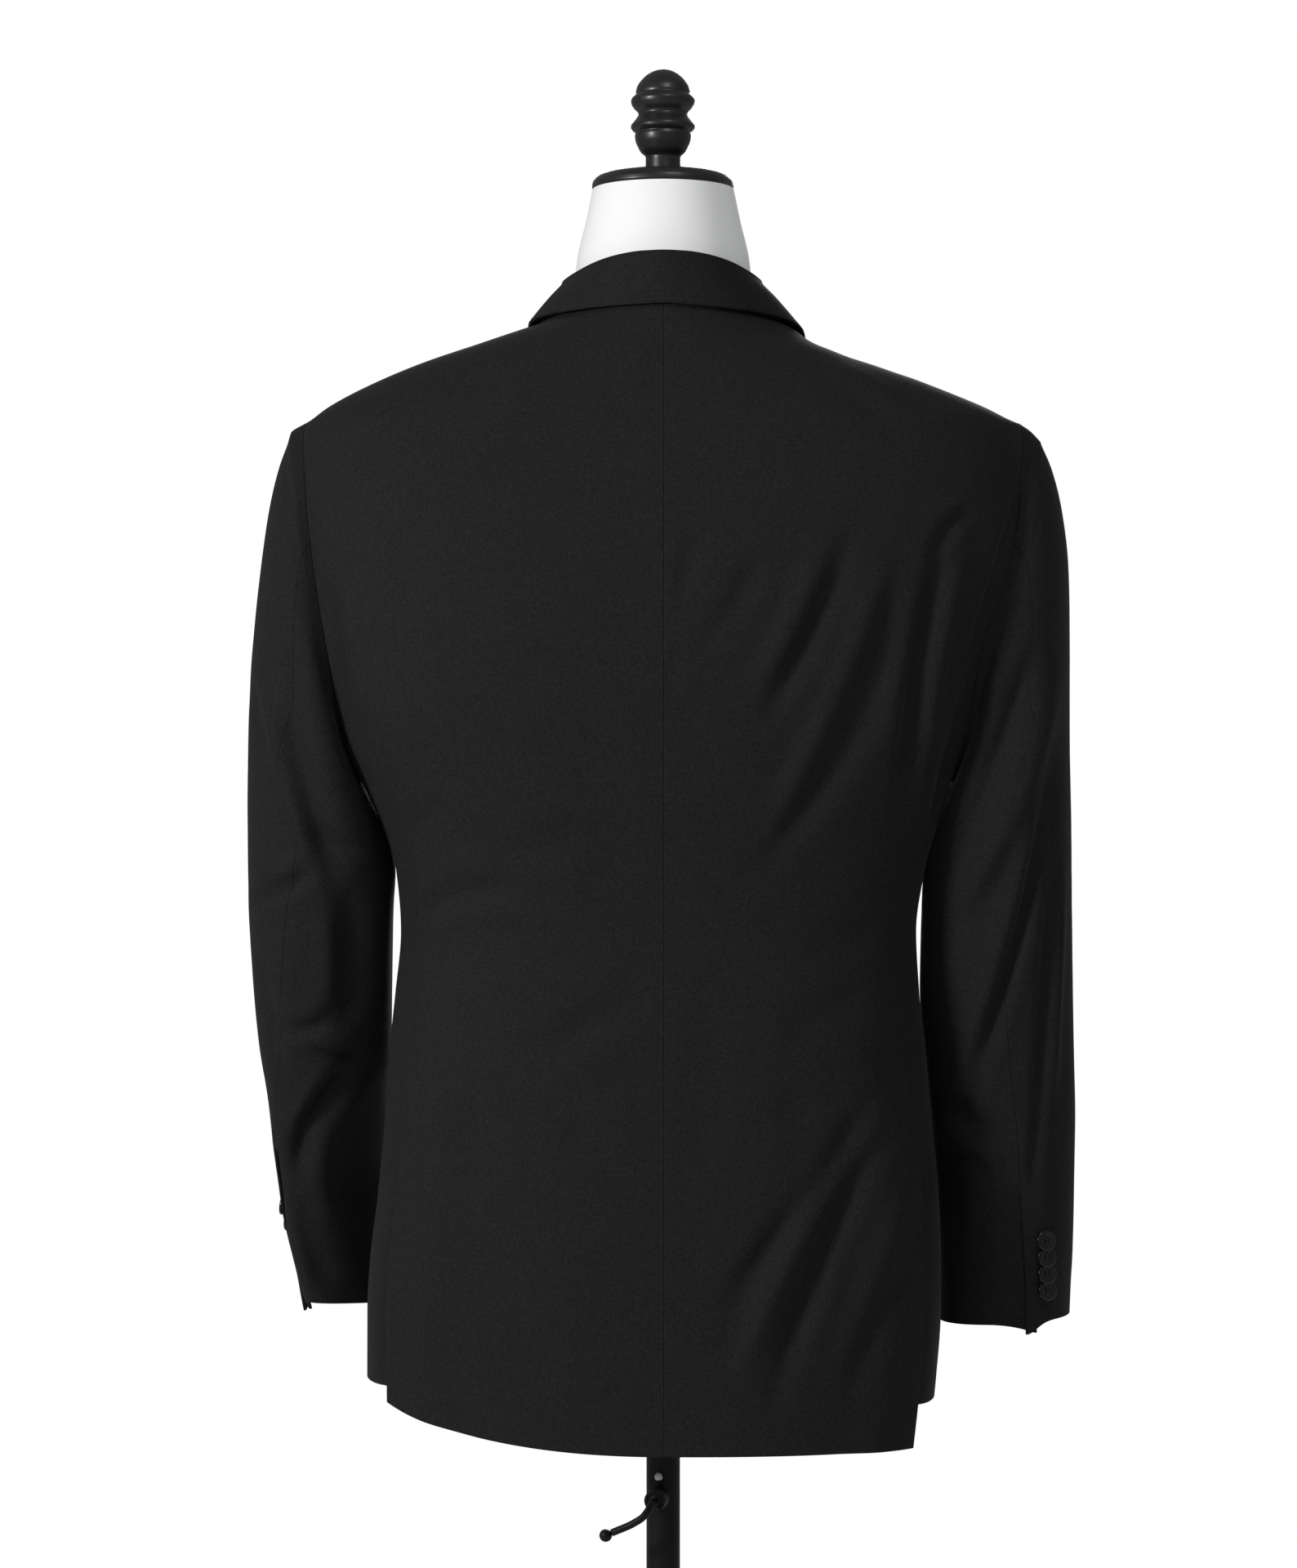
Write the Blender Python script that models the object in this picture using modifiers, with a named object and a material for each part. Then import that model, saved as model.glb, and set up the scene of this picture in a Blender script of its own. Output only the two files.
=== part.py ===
"""Wool blazer on a limbless dress form, which stands on a pole with a round base.

The coat faces -Y and its left is +X. The origin is on the floor, on the pole's axis.
Sizes in the tables and constants are millimetres. MM turns them into Blender's metres.
"""
import math

import bmesh
import bpy
import numpy as np
from mathutils import Matrix, Vector

MM = 0.001
LEFT = 1
RIGHT = -1
SIDE_NAMES = {LEFT: "left", RIGHT: "right"}

# Cloth and seams
CLOTH = 2.0
SEAM_GAP = 0.3
BUTTON_GAP = 0.9
SEAM_TRIM = 0.42
SHOULDER_TRIM = 0.8
SLEEVE_TRIM = 0.6
SLEEVE_CAP_TRIM = 1.9
SLEEVE_CAP_RINGS = 10
SIDE_TRIM = 0.8
SLEEVE_START = 0.6
SLEEVE_START_TOP = 1.7

# Rows and columns of the cloth panels
HEM_ROWS = 13
SHOULDER_ROWS = 5
BACK_COLUMNS = 11
SIDE_COLUMNS = 7
FRONT_COLUMNS = 11
ARM_STEPS = 24
SIDE_SEAM_STEP = 9
BACK_SEAM_STEP = 5
FRONT_SEAM_STEP = 15
SLEEVE_ROWS = 23
SLEEVE_PLAIN_RINGS = 6
FINE_POINTS = 81

# Armhole, a rounded loop seen from the side
ARMHOLE_HEIGHT = 1324.0
ARMHOLE_HALF_HEIGHT = 121.0
ARMHOLE_HALF_DEPTH = 53.0
ARMHOLE_POWER = 2.2
TIP_HEIGHT = ARMHOLE_HEIGHT + ARMHOLE_HALF_HEIGHT

# Neck points, hems and vents
NAPE_HEIGHT = 1526.0
NECK_POINT_HEIGHT = 1512.0
BACK_HEM = 763.0
BACK_HEM_RISE = {LEFT: 28.0, RIGHT: -2.0}
SIDE_HEM = {LEFT: 800.0, RIGHT: 787.0}
FRONT_HEM = 784.0
VENT_ROW = 6
VENT_UNDERLAP = 24.0
VENT_LIFT = 4.6
VENT_LIFT_REACH = (28.0, 62.0)

# Front edge, roll line and overlap
FRONT_OVERLAP = 18.0
BREAK_HEIGHT = 1112.0
ROLL_TOP = 70.0
CUTAWAY_HEIGHT = 985.0
CUTAWAY_REACH = 118.0
CUTAWAY_ROUND = 0.9
OVERLAP_LIFT = 3.0
OVERLAP_RAMP = (20.0, 46.0)
BUTTON_HEIGHTS = (1098.0, 990.0)

BODY_COLUMNS = ("height", "left", "right", "back", "front", "back_power", "front_power")
BODY_SECTIONS = (
    (755, 200.0, 180.0, 118.0, 118.0, 2.5, 2.4),
    (800, 200.5, 185.0, 117.0, 120.0, 2.5, 2.4),
    (845, 200.5, 188.0, 116.0, 121.0, 2.5, 2.4),
    (880, 198.5, 188.0, 115.0, 121.0, 2.5, 2.4),
    (920, 193.5, 186.5, 113.0, 120.0, 2.5, 2.4),
    (970, 189.0, 182.0, 109.0, 118.0, 2.5, 2.4),
    (1020, 185.5, 177.5, 104.0, 116.0, 2.5, 2.4),
    (1060, 181.5, 173.5, 100.0, 115.0, 2.5, 2.4),
    (1100, 178.0, 171.5, 98.0, 117.0, 2.5, 2.4),
    (1140, 181.0, 177.0, 101.0, 121.0, 2.5, 2.4),
    (1165, 188.0, 184.0, 104.0, 125.0, 2.5, 2.35),
    (1185, 196.5, 190.0, 107.0, 127.0, 2.55, 2.3),
    (1205, 206.0, 196.0, 109.0, 128.0, 2.6, 2.3),
    (1235, 220.5, 207.5, 112.0, 129.0, 2.7, 2.25),
    (1265, 228.0, 214.5, 114.0, 128.0, 2.8, 2.2),
    (1295, 235.0, 222.5, 114.5, 127.0, 2.8, 2.2),
    (1320, 240.0, 233.0, 114.0, 125.0, 2.8, 2.2),
    (1350, 245.0, 242.0, 111.5, 121.0, 2.8, 2.2),
    (1385, 248.0, 247.0, 106.0, 113.0, 2.8, 2.2),
    (1420, 247.0, 246.0, 99.0, 102.0, 2.7, 2.2),
    (1443, 243.0, 242.0, 93.0, 92.0, 2.5, 2.2),
    (1447, 238.0, 234.0, 92.0, 90.0, 2.5, 2.2),
    (1454, 229.0, 221.0, 90.0, 86.0, 2.4, 2.1),
    (1465, 209.0, 194.0, 87.0, 79.0, 2.3, 2.1),
    (1481, 173.0, 150.5, 83.0, 68.0, 2.2, 2.0),
    (1498, 125.0, 102.0, 78.5, 54.0, 2.1, 2.0),
    (1507, 99.0, 90.0, 76.0, 46.0, 2.0, 2.0),
    (1512, 83.0, 81.0, 74.5, 41.0, 2.0, 2.0),
    (1520, 75.0, 75.0, 72.5, 36.0, 2.0, 2.0),
    (1530, 71.0, 71.0, 70.5, 32.0, 2.0, 2.0),
)

# How far behind and in front of the side the panel seams run
SEAM_COLUMNS = ("height", "back", "front")
SIDE_SEAMS = (
    (755, 67.0, 58.0),
    (900, 63.0, 56.0),
    (1000, 59.0, 53.0),
    (1100, 52.0, 48.0),
    (1180, 43.0, 41.0),
    (1236, 38.7, 38.7),
)

# Sleeves: where each ring's outer and inner points lie, how far forward its middle is, and its depth
SLEEVE_COLUMNS = ("outer_x", "outer_z", "inner_x", "inner_z", "middle_y", "half_depth", "keep", "twist",
                  "lean")
SLEEVE_SECTIONS = {
    LEFT: (
        (250.0, 1439, 206.5, 1201, 0, 55.5, 0.90, 0, 0),
        (259.0, 1417, 204.8, 1196, -1, 58.5, 0.65, 0, 0),
        (266.5, 1388, 201.6, 1189, -2, 61.0, 0.42, 0, 0),
        (272.5, 1350, 197.6, 1181, -3, 62.5, 0.25, 0, 0),
        (277.0, 1312, 193.2, 1173, -5, 63.5, 0.12, 0, 0),
        (280.5, 1270, 189.0, 1164, -7, 63.5, 0.05, -6, 0),
        (282.5, 1225, 185.7, 1153, -10, 62.5, 0.0, -11, 0),
        (283.5, 1175, 182.9, 1140, -14, 60.5, 0.0, 3, 0),
        (283.5, 1120, 184.6, 1115, -19, 57.5, 0.0, -5, 0),
        (281.0, 1065, 186.5, 1063, -30, 54.0, 0.0, -14, 4),
        (277.5, 1020, 188.4, 1016, -44, 51.5, 0.0, -23, 10),
        (273.0, 985, 191.5, 985, -62, 50.5, 0.0, -36, 20),
        (269.0, 945, 192.5, 945, -79, 50.0, 0.0, -52, 32),
        (264.5, 905, 186.0, 905, -92, 49.5, 0.0, -68, 42),
        (258.0, 870, 180.0, 870, -101, 49.0, 0.0, -79, 48),
        (251.0, 840, 174.0, 834, -106, 48.5, 0.0, -82, 50),
    ),
    RIGHT: (
        (252.5, 1434, 197.5, 1201, 0, 55.5, 0.90, 0, 0),
        (261.5, 1415, 195.8, 1196, -1, 58.5, 0.65, 0, 0),
        (269.0, 1388, 193.4, 1189, -2, 61.0, 0.42, 0, 0),
        (274.0, 1350, 189.7, 1180, -2, 62.5, 0.25, 0, 0),
        (275.5, 1312, 187.0, 1171, -3, 63.5, 0.12, 0, 0),
        (276.0, 1268, 184.2, 1161, -4, 63.5, 0.05, -6, 0),
        (276.5, 1222, 180.4, 1149, -5, 62.0, 0.0, -12, 0),
        (277.8, 1170, 177.2, 1134, -7, 60.0, 0.0, -3, 0),
        (278.5, 1115, 176.4, 1111, -10, 57.5, 0.0, 8, 0),
        (279.5, 1065, 175.4, 1062, -14, 55.0, 0.0, 14, 0),
        (281.0, 1015, 179.8, 1013, -20, 53.0, 0.0, 13, 0),
        (282.5, 965, 184.2, 965, -27, 51.5, 0.0, 10, 0),
        (282.5, 920, 188.4, 920, -33, 50.5, 0.0, 8, 0),
        (282.0, 880, 190.2, 880, -38, 49.5, 0.0, 5, 0),
        (281.0, 856, 190.4, 854, -41, 49.0, 0.0, 3, 0),
        (280.5, 836, 190.2, 831, -43, 48.5, 0.0, 2, 0),
    ),
}
SLEEVE_POWER = 2.1
CUFF_DROP = 8.0
CUFF_DROP_WIDTH = 14.0

# Largest folds: on the back x is across, on a sleeve it is degrees round from the outer side
FOLD_COLUMNS = ("start_across", "start_height", "end_across", "end_height", "width", "depth")
FOLDS = {
    "back_left": (
        (150, 1105, 95, 1142, 16, 2.0),
        (140, 1015, 90, 1060, 18, 1.2),
    ),
    "back_right": (
        (-186, 1366, -163, 1235, 13, 3.0),
        (-222, 1345, -199, 1272, 10, 2.2),
        (-170, 1340, -60, 1155, 22, 1.6),
        (-134, 910, -50, 830, 22, 1.8),
    ),
    "sleeve_left": (
        (8, 1278, 62, 1150, 14, -2.5),
        (-25, 1136, 118, 1140, 11, 4.5),
        (60, 1040, 165, 1052, 12, 3.5),
        (105, 1003, 175, 1020, 11, 3.5),
        (70, 970, 160, 1000, 12, 3.5),
    ),
    "sleeve_right": (
        (12, 1226, 100, 1058, 13, 3.0),
        (100, 1058, 158, 985, 13, 3.2),
        (118, 1205, 140, 1140, 12, 3.0),
        (150, 1020, 120, 960, 12, 2.4),
    ),
}
SLEEVE_MM_PER_DEGREE = 0.9

# Collar behind the neck, from the neck point to centre back. Its left fall ends higher.
COLLAR_BACK_COLUMNS = ("turn", "rise", "lean", "left_edge", "right_edge", "edge_out")
COLLAR_BACK = (
    (0, 27.0, 15.0, 1509.5, 1505.5, 4.6),
    (30, 28.0, 11.5, 1511.0, 1509.5, 4.8),
    (60, 27.5, 4.0, 1514.5, 1514.0, 4.5),
    (90, 26.5, -1.0, 1517.0, 1517.0, 3.9),
)
COLLAR_BACK_STATIONS = 9
# Collar in front, from the gorge up to the top of the roll line
COLLAR_FRONT_COLUMNS = ("seam_height", "rise", "upright", "left_x", "right_x", "left_edge", "right_edge",
                        "edge_out")
COLLAR_FRONT = (
    (1448.0, 6.5, 0.0, 101.0, 102.0, 1460.0, 1460.0, 3.6),
    (1472.0, 8.5, 0.2, 99.5, 101.5, 1475.5, 1474.0, 3.8),
    (1492.0, 13.5, 0.5, 96.0, 98.5, 1491.0, 1488.0, 4.2),
    (1512.5, 24.0, 0.85, 92.0, 95.0, 1504.0, 1500.0, 4.8),
)
COLLAR_FRONT_STATIONS = 5
COLLAR_SEAM_RAISE = 0.7
COLLAR_SEAM_IN = 2.8
COLLAR_FOLD_RADIUS = 2.9
# How far down the fall two of its points lie, and how far it bulges there
FALL_POINTS = ((0.38, 1.2), (0.72, 1.0))

# Lapel, from its break up to the gorge
LAPEL_COLUMNS = ("height", "outer_x")
LAPEL_SECTIONS = (
    (1122, -10.0),
    (1150, 18.0),
    (1195, 47.0),
    (1250, 71.0),
    (1310, 91.0),
    (1370, 107.0),
    (1428, 122.0),
)
LAPEL_START = {LEFT: 1124.0, RIGHT: 1212.0}
LAPEL_TIP_HEIGHT = 1430.0
LAPEL_GORGE_HEIGHT = 1443.5
LAPEL_OUT = 3.0
LAPEL_TRIM = 0.4
NOTCH_SHARE = 0.26
LAPEL_ROWS = 9
LAPEL_COLUMN_COUNT = 5

# Pocket flaps and breast welt, by how far from the centre they reach
FLAP_X = (58.0, 160.0)
FLAP_HEIGHTS = (918.0, 968.0)
WELT_X = (96.0, 178.0)
WELT_HEIGHTS = (1262.0, 1286.0)
WELT_RISE = 9.0
PATCH_OUT = 2.9
PATCH_THICKNESS = 2.2

# Buttons
FRONT_BUTTON_RADIUS = 10.0
FRONT_BUTTON_THICKNESS = 3.6
CUFF_BUTTON_RADIUS = 7.0
CUFF_BUTTON_THICKNESS = 2.2
CUFF_BUTTON_COUNT = 4
CUFF_BUTTON_SPACING = 11.5
CUFF_BUTTON_TILT = 15.0
CUFF_BUTTON_ANGLE = {LEFT: 47.0, RIGHT: 57.0}
CUFF_BUTTON_LOWEST = {LEFT: 872.0, RIGHT: 857.0}
CUFF_BUTTON_CLEAR = 0.45
CUFF_BUTTON_REACH = 12.0
BUTTON_RIM_SHARE = 0.28

# Dress form
FORM_COLUMNS = ("height", "inset", "arm_end")
FORM_INSETS = (
    (828, 9.0, 300.0),
    (1000, 10.0, 300.0),
    (1100, 8.5, 300.0),
    (1180, 7.0, 212.0),
    (1240, 5.5, 203.0),
    (1320, 4.5, 208.0),
    (1400, 4.0, 216.0),
    (1445, 3.6, 222.0),
    (1500, 3.4, 222.0),
)
FORM_BOTTOM = 832.0
FORM_LOW_ROWS = 14
FORM_LOW_TOP = 1400.0
FORM_SHOULDER_HEIGHTS = (1416.0, 1428.0, 1438.0, 1446.0, 1455.0, 1466.0, 1478.0, 1490.0)
FORM_STEPS = 28
FORM_DROP = 2.4
FORM_DROP_HEIGHTS = (1380.0, 1440.0)
NECK_COLUMNS = ("height", "half_width", "back", "front")
NECK_SECTIONS = (
    (1508, 74.0, 65.0, 41.0),
    (1520, 64.5, 62.0, 43.0),
    (1536, 60.5, 60.0, 46.0),
    (1556, 58.5, 57.5, 49.0),
    (1582, 52.5, 52.5, 49.0),
    (1603.7, 48.0, 48.0, 47.0),
)

# Neck cap and finial, turned profiles as radius and height
CAP_PROFILE = ((0.0, 1614.6), (36.0, 1614.0), (42.5, 1612.9), (46.4, 1610.6), (48.2, 1607.6),
               (48.4, 1605.2), (47.6, 1604.2), (46.6, 1604.0), (0.0, 1604.0))
FINIAL_PROFILE = ((0.0, 1686.0), (6.4, 1684.3), (13.4, 1679.6), (18.3, 1672.0), (18.8, 1668.2),
                  (21.7, 1664.4), (20.3, 1659.6), (16.9, 1655.0), (19.6, 1650.5), (21.9, 1646.4),
                  (19.1, 1641.8), (18.6, 1636.4), (15.6, 1629.6), (12.0, 1626.0), (12.1, 1614.9),
                  (0.0, 1614.9))

# Stand
TUBE_RADIUS = 11.4
TUBE_BORE = 9.4
TUBE_TOP = 801.0
TUBE_FOOT = 14.6
POLE_RADIUS = 9.0
POLE_BOTTOM = 470.0
FLANGE_RADIUS = 32.0
FLANGE_THICKNESS = 5.0
BASE_PROFILE = ((0.0, 14.3), (24.0, 14.2), (158.0, 9.2), (170.0, 7.4), (175.0, 3.6), (174.0, 0.0),
                (0.0, 0.0))
SOCKET_BORE = TUBE_RADIUS + SEAM_GAP
SOCKET_PROFILE = ((SOCKET_BORE, 46.0), (15.5, 46.0), (17.0, 44.6), (17.0, 22.0), (24.0, 15.6),
                  (24.0, TUBE_FOOT), (SOCKET_BORE, TUBE_FOOT))
CLAMP_TURN = -14.0
BOSS_HEIGHT = 717.0
BOSS_RADIUS = 7.4
BOSS_START = 11.6
BOSS_LENGTH = 13.0
SCREW_HEIGHT = 731.5
SCREW_RADIUS = 2.8
SCREW_THICKNESS = 2.4
LEVER_RADIUS = 2.5
LEVER_BALL_RADIUS = 4.3
LEVER_ROUTE_COLUMNS = ("across", "out", "height")
LEVER_ROUTE = (
    (0.0, 25.0, 717.0),
    (0.0, 31.0, 716.6),
    (1.2, 36.5, 713.4),
    (4.0, 39.5, 709.2),
    (11.0, 41.0, 704.4),
    (25.0, 42.5, 698.0),
)

# Colours are linear RGB
WOOL = ("wool", (0.012, 0.012, 0.014), 0.9, 0.0)
HORN = ("button", (0.02, 0.02, 0.021), 0.35, 0.0)
JERSEY = ("form_cloth", (0.86, 0.86, 0.85), 0.7, 0.0)
SATIN_BLACK = ("satin_black", (0.016, 0.016, 0.017), 0.38, 0.0)
STEEL_BLACK = ("steel_black", (0.03, 0.03, 0.032), 0.3, 0.8)
SCREW_STEEL = ("screw_steel", (0.45, 0.45, 0.46), 0.3, 1.0)


def table(columns, rows):
    """Turns rows of numbers into one array for each named column."""
    return {name: np.array([row[i] for row in rows], float) for i, name in enumerate(columns)}


BODY = table(BODY_COLUMNS, BODY_SECTIONS)
SEAMS = table(SEAM_COLUMNS, SIDE_SEAMS)
LAPEL = table(LAPEL_COLUMNS, LAPEL_SECTIONS)
FORM = table(FORM_COLUMNS, FORM_INSETS)
NECK = table(NECK_COLUMNS, NECK_SECTIONS)


def smooth(x, knots, values):
    """Cubic curve through the knots, whose slopes are limited so that it never overshoots."""
    x = np.clip(np.asarray(x, float), knots[0], knots[-1])
    step = np.diff(knots)
    slope = np.diff(values) / step
    tangent = np.zeros(len(knots))
    product = slope[:-1] * slope[1:]
    total = slope[:-1] + slope[1:]
    rising = product > 0
    tangent[1:-1][rising] = 2.0 * product[rising] / total[rising]
    tangent[0] = slope[0]
    tangent[-1] = slope[-1]
    i = np.clip(np.searchsorted(knots, x, side="right") - 1, 0, len(step) - 1)
    t = (x - knots[i]) / step[i]
    start = (1 + 2 * t) * (1 - t) ** 2 * values[i] + t * (1 - t) ** 2 * step[i] * tangent[i]
    end = t * t * (3 - 2 * t) * values[i + 1] + t * t * (t - 1) * step[i] * tangent[i + 1]
    return start + end


def ease(x, low, high):
    """0 below low, 1 above high and a soft step between them."""
    t = np.clip((np.asarray(x, float) - low) / (high - low), 0.0, 1.0)
    return t * t * (3 - 2 * t)


def unit(vectors):
    """Vectors of length 1 along the last axis."""
    length = np.linalg.norm(vectors, axis=-1, keepdims=True)
    return vectors / np.maximum(length, 1e-9)


def body_sizes(side, behind, height):
    """Half-width, depth and power of the coat's section at a height, behind or in front."""
    width = smooth(height, BODY["height"], BODY["left" if side == LEFT else "right"])
    face = "back" if behind else "front"
    depth = smooth(height, BODY["height"], BODY[face])
    power = smooth(height, BODY["height"], BODY[face + "_power"])
    return width, depth, power


def turn_at_depth(side, behind, height, y):
    """Angle round the section, 0 at the side, where the surface is y millimetres from the middle."""
    width, depth, power = body_sizes(side, behind, height)
    return np.arcsin(np.clip(np.abs(y) / depth, 0.0, 1.0) ** (power / 2))


def turn_at_width(side, behind, height, x):
    """Angle round the section where the surface is x millimetres towards its own side."""
    width, depth, power = body_sizes(side, behind, height)
    share = np.clip(x / width, -1.0, 1.0)
    return np.arccos(np.sign(share) * np.abs(share) ** (power / 2))


def body_point(side, behind, turn, height):
    """x = W cos^(2/p), y = D sin^(2/p): a rounded section of half-width W and depth D."""
    width, depth, power = body_sizes(side, behind, height)
    across = np.cos(turn)
    x = side * width * np.sign(across) * np.abs(across) ** (2 / power)
    y = depth * np.abs(np.sin(turn)) ** (2 / power)
    return np.stack(np.broadcast_arrays(x, y if behind else -y, height), axis=-1)


def even_row(side, behind, turns, heights, count):
    """Points at equal steps of length along a row, given its angles and heights finely."""
    fine = body_point(side, behind, turns, heights)
    length = np.concatenate([[0.0], np.cumsum(np.linalg.norm(np.diff(fine, axis=0), axis=1))])
    wanted = np.linspace(0.0, length[-1], count)
    return np.stack([np.interp(wanted, length, fine[:, axis]) for axis in range(3)], axis=-1)


def armhole_depth(step):
    """How far from the middle the armhole is, at a step round it from the shoulder tip."""
    angle = 2 * math.pi * step / ARM_STEPS
    return ARMHOLE_HALF_DEPTH * abs(math.sin(angle)) ** (2 / ARMHOLE_POWER)


def armhole_height(step):
    """Height of the armhole at a step round it from the shoulder tip."""
    across = math.cos(2 * math.pi * step / ARM_STEPS)
    rise = math.copysign(abs(across) ** (2 / ARMHOLE_POWER), across)
    return ARMHOLE_HEIGHT + ARMHOLE_HALF_HEIGHT * rise


def armhole_loop(side):
    """The armhole on the coat's surface, from the shoulder tip round the back."""
    points = []
    for step in range(ARM_STEPS):
        behind = step <= ARM_STEPS // 2
        height = armhole_height(step)
        turn = turn_at_depth(side, behind, height, armhole_depth(step))
        points.append(body_point(side, behind, turn, height))
    return np.array(points)


def grid_normals(grid):
    """Unit normals of a grid of points, from the steps along its rows and columns."""
    down = np.gradient(grid, axis=0)
    along = np.gradient(grid, axis=1)
    return unit(np.cross(along, down))


def moved_out(grid, distance):
    """The grid moved along its normals, away from the coat's inside."""
    normals = grid_normals(grid)
    sign = np.sign(np.sum(grid[..., :2] * normals[..., :2]))
    return grid + sign * np.asarray(distance)[..., None] * normals


def fold_push(across, height, folds):
    """Depth of the folds at each point: each is a soft trough along a line, faded at its ends."""
    push = np.zeros(np.shape(across))
    for row in folds:
        fold = dict(zip(FOLD_COLUMNS, row))
        start = np.array([fold["start_across"], fold["start_height"]], float)
        end = np.array([fold["end_across"], fold["end_height"]], float)
        line = end - start
        length = np.linalg.norm(line)
        along = ((across - start[0]) * line[0] + (height - start[1]) * line[1]) / length ** 2
        off = ((across - start[0]) * line[1] - (height - start[1]) * line[0]) / length
        fade = ease(along, -0.15, 0.2) * (1 - ease(along, 0.8, 1.15))
        push -= fold["depth"] * fade * np.exp(-((off / fold["width"]) ** 2))
    return push


def low_rows(hem, top_height):
    """Heights from a hem, which may vary along the row, up to a fixed height."""
    return [hem + (top_height - hem) * i / HEM_ROWS for i in range(HEM_ROWS)]


def seam_depth(height, face):
    """How far from the middle a panel seam is at a height below the armhole."""
    return smooth(height, SEAMS["height"], SEAMS[face])


def trim_columns(grid, first, last):
    """Draws the first and last columns in along their rows by the given distances."""
    trimmed = grid.copy()
    trimmed[:, 0] += first * unit(grid[:, 1] - grid[:, 0])
    trimmed[:, -1] += last * unit(grid[:, -2] - grid[:, -1])
    return trimmed


def neckline(share):
    """Height of the back neckline at a share of the way from the nape to the neck point."""
    return NAPE_HEIGHT + (NECK_POINT_HEIGHT - NAPE_HEIGHT) * ease(share, 0.0, 1.0)


def back_panel(side):
    """Back, from centre back to the side seam, the armhole and the shoulder seam."""
    share = np.linspace(0.0, 1.0, FINE_POINTS)
    hem = BACK_HEM + BACK_HEM_RISE[side] * share ** 1.6
    neck = neckline(share)
    rows = []
    for heights in low_rows(hem, armhole_height(SIDE_SEAM_STEP)):
        edge = turn_at_depth(side, True, heights[-1], seam_depth(heights[-1], "back"))
        rows.append((heights, edge))
    for step in range(SIDE_SEAM_STEP, -1, -1):
        height = armhole_height(step)
        edge = turn_at_depth(side, True, height, armhole_depth(step))
        rows.append((np.full(FINE_POINTS, height), edge))
    for row in range(1, SHOULDER_ROWS + 1):
        rows.append((TIP_HEIGHT + (neck - TIP_HEIGHT) * row / SHOULDER_ROWS, 0.0))
    grid = []
    for heights, edge in rows:
        turns = math.pi / 2 + (edge - math.pi / 2) * share
        grid.append(even_row(side, True, turns, heights, BACK_COLUMNS))
    grid = np.array(grid)
    lift = vent_lift(grid)
    push = fold_push(grid[..., 0], grid[..., 2], FOLDS["back_" + SIDE_NAMES[side]])
    push = push * np.linspace(0.0, 1.0, BACK_COLUMNS) * np.linspace(1.0, 0.0, BACK_COLUMNS) * 4
    return trim_columns(moved_out(grid, lift + push), SEAM_TRIM, seam_trim())


def seam_trim():
    """How far each row of a back or front is drawn in: more at the shoulder, where it bends most."""
    trim = np.full(HEM_ROWS + SIDE_SEAM_STEP + 1 + SHOULDER_ROWS, SIDE_TRIM)
    trim[HEM_ROWS + SIDE_SEAM_STEP - 1:] = SHOULDER_TRIM
    return trim[:, None]


def vent_lift(grid):
    """The back lies over the side panel below the vent's top, so its edge stands out there."""
    reach = np.linalg.norm(grid - grid[:, -1:], axis=-1)
    lift = VENT_LIFT * (1 - ease(reach, *VENT_LIFT_REACH))
    row = np.arange(len(grid))[:, None]
    return lift * np.where(row <= VENT_ROW, 1.0, 0.0)


def side_panel(side):
    """Side panel under the arm, between the back's seam and the front's."""
    share = np.linspace(0.0, 1.0, SIDE_COLUMNS)
    steps = np.arange(SIDE_SEAM_STEP, ARM_STEPS - SIDE_SEAM_STEP + 1)
    top = armhole_loop(side)[steps]
    top = np.stack([np.interp(share, np.linspace(0, 1, len(steps)), top[:, i]) for i in range(3)],
                   axis=-1)
    rows = []
    for row in range(HEM_ROWS):
        height = SIDE_HEM[side] + (armhole_height(SIDE_SEAM_STEP) - SIDE_HEM[side]) * row / HEM_ROWS
        underlap = VENT_UNDERLAP if row < VENT_ROW - 1 else 0.0
        behind = seam_depth(height, "back") + underlap
        before = -seam_depth(height, "front")
        depths = behind + (before - behind) * share
        heights = height + (top[:, 2] - top[0, 2]) * row / HEM_ROWS
        rows.append(side_row(side, depths, heights))
    rows.append(top)
    return trim_columns(np.array(rows), SEAM_TRIM, SEAM_TRIM)


def side_row(side, depths, heights):
    """Points on the coat's surface at given depths, behind where positive, and heights."""
    points = []
    for y, height in zip(depths, heights):
        turn = turn_at_depth(side, y >= 0, height, y)
        points.append(body_point(side, y >= 0, turn, height))
    return np.array(points)


def roll_x(height):
    """Distance of the roll line from the centre towards its own side."""
    slope = (ROLL_TOP + FRONT_OVERLAP) / (NECK_POINT_HEIGHT - BREAK_HEIGHT)
    return ROLL_TOP - (NECK_POINT_HEIGHT - height) * slope


def front_edge_x(height):
    """Front edge: a round cutaway, a straight run past the centre, and the roll line."""
    if height >= BREAK_HEIGHT:
        return roll_x(height)
    fall = np.clip((CUTAWAY_HEIGHT - height) / (CUTAWAY_HEIGHT - FRONT_HEM), 0.0, 1.0)
    return -FRONT_OVERLAP + CUTAWAY_REACH * (1 - math.sqrt(1 - CUTAWAY_ROUND * fall ** 2))


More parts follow.
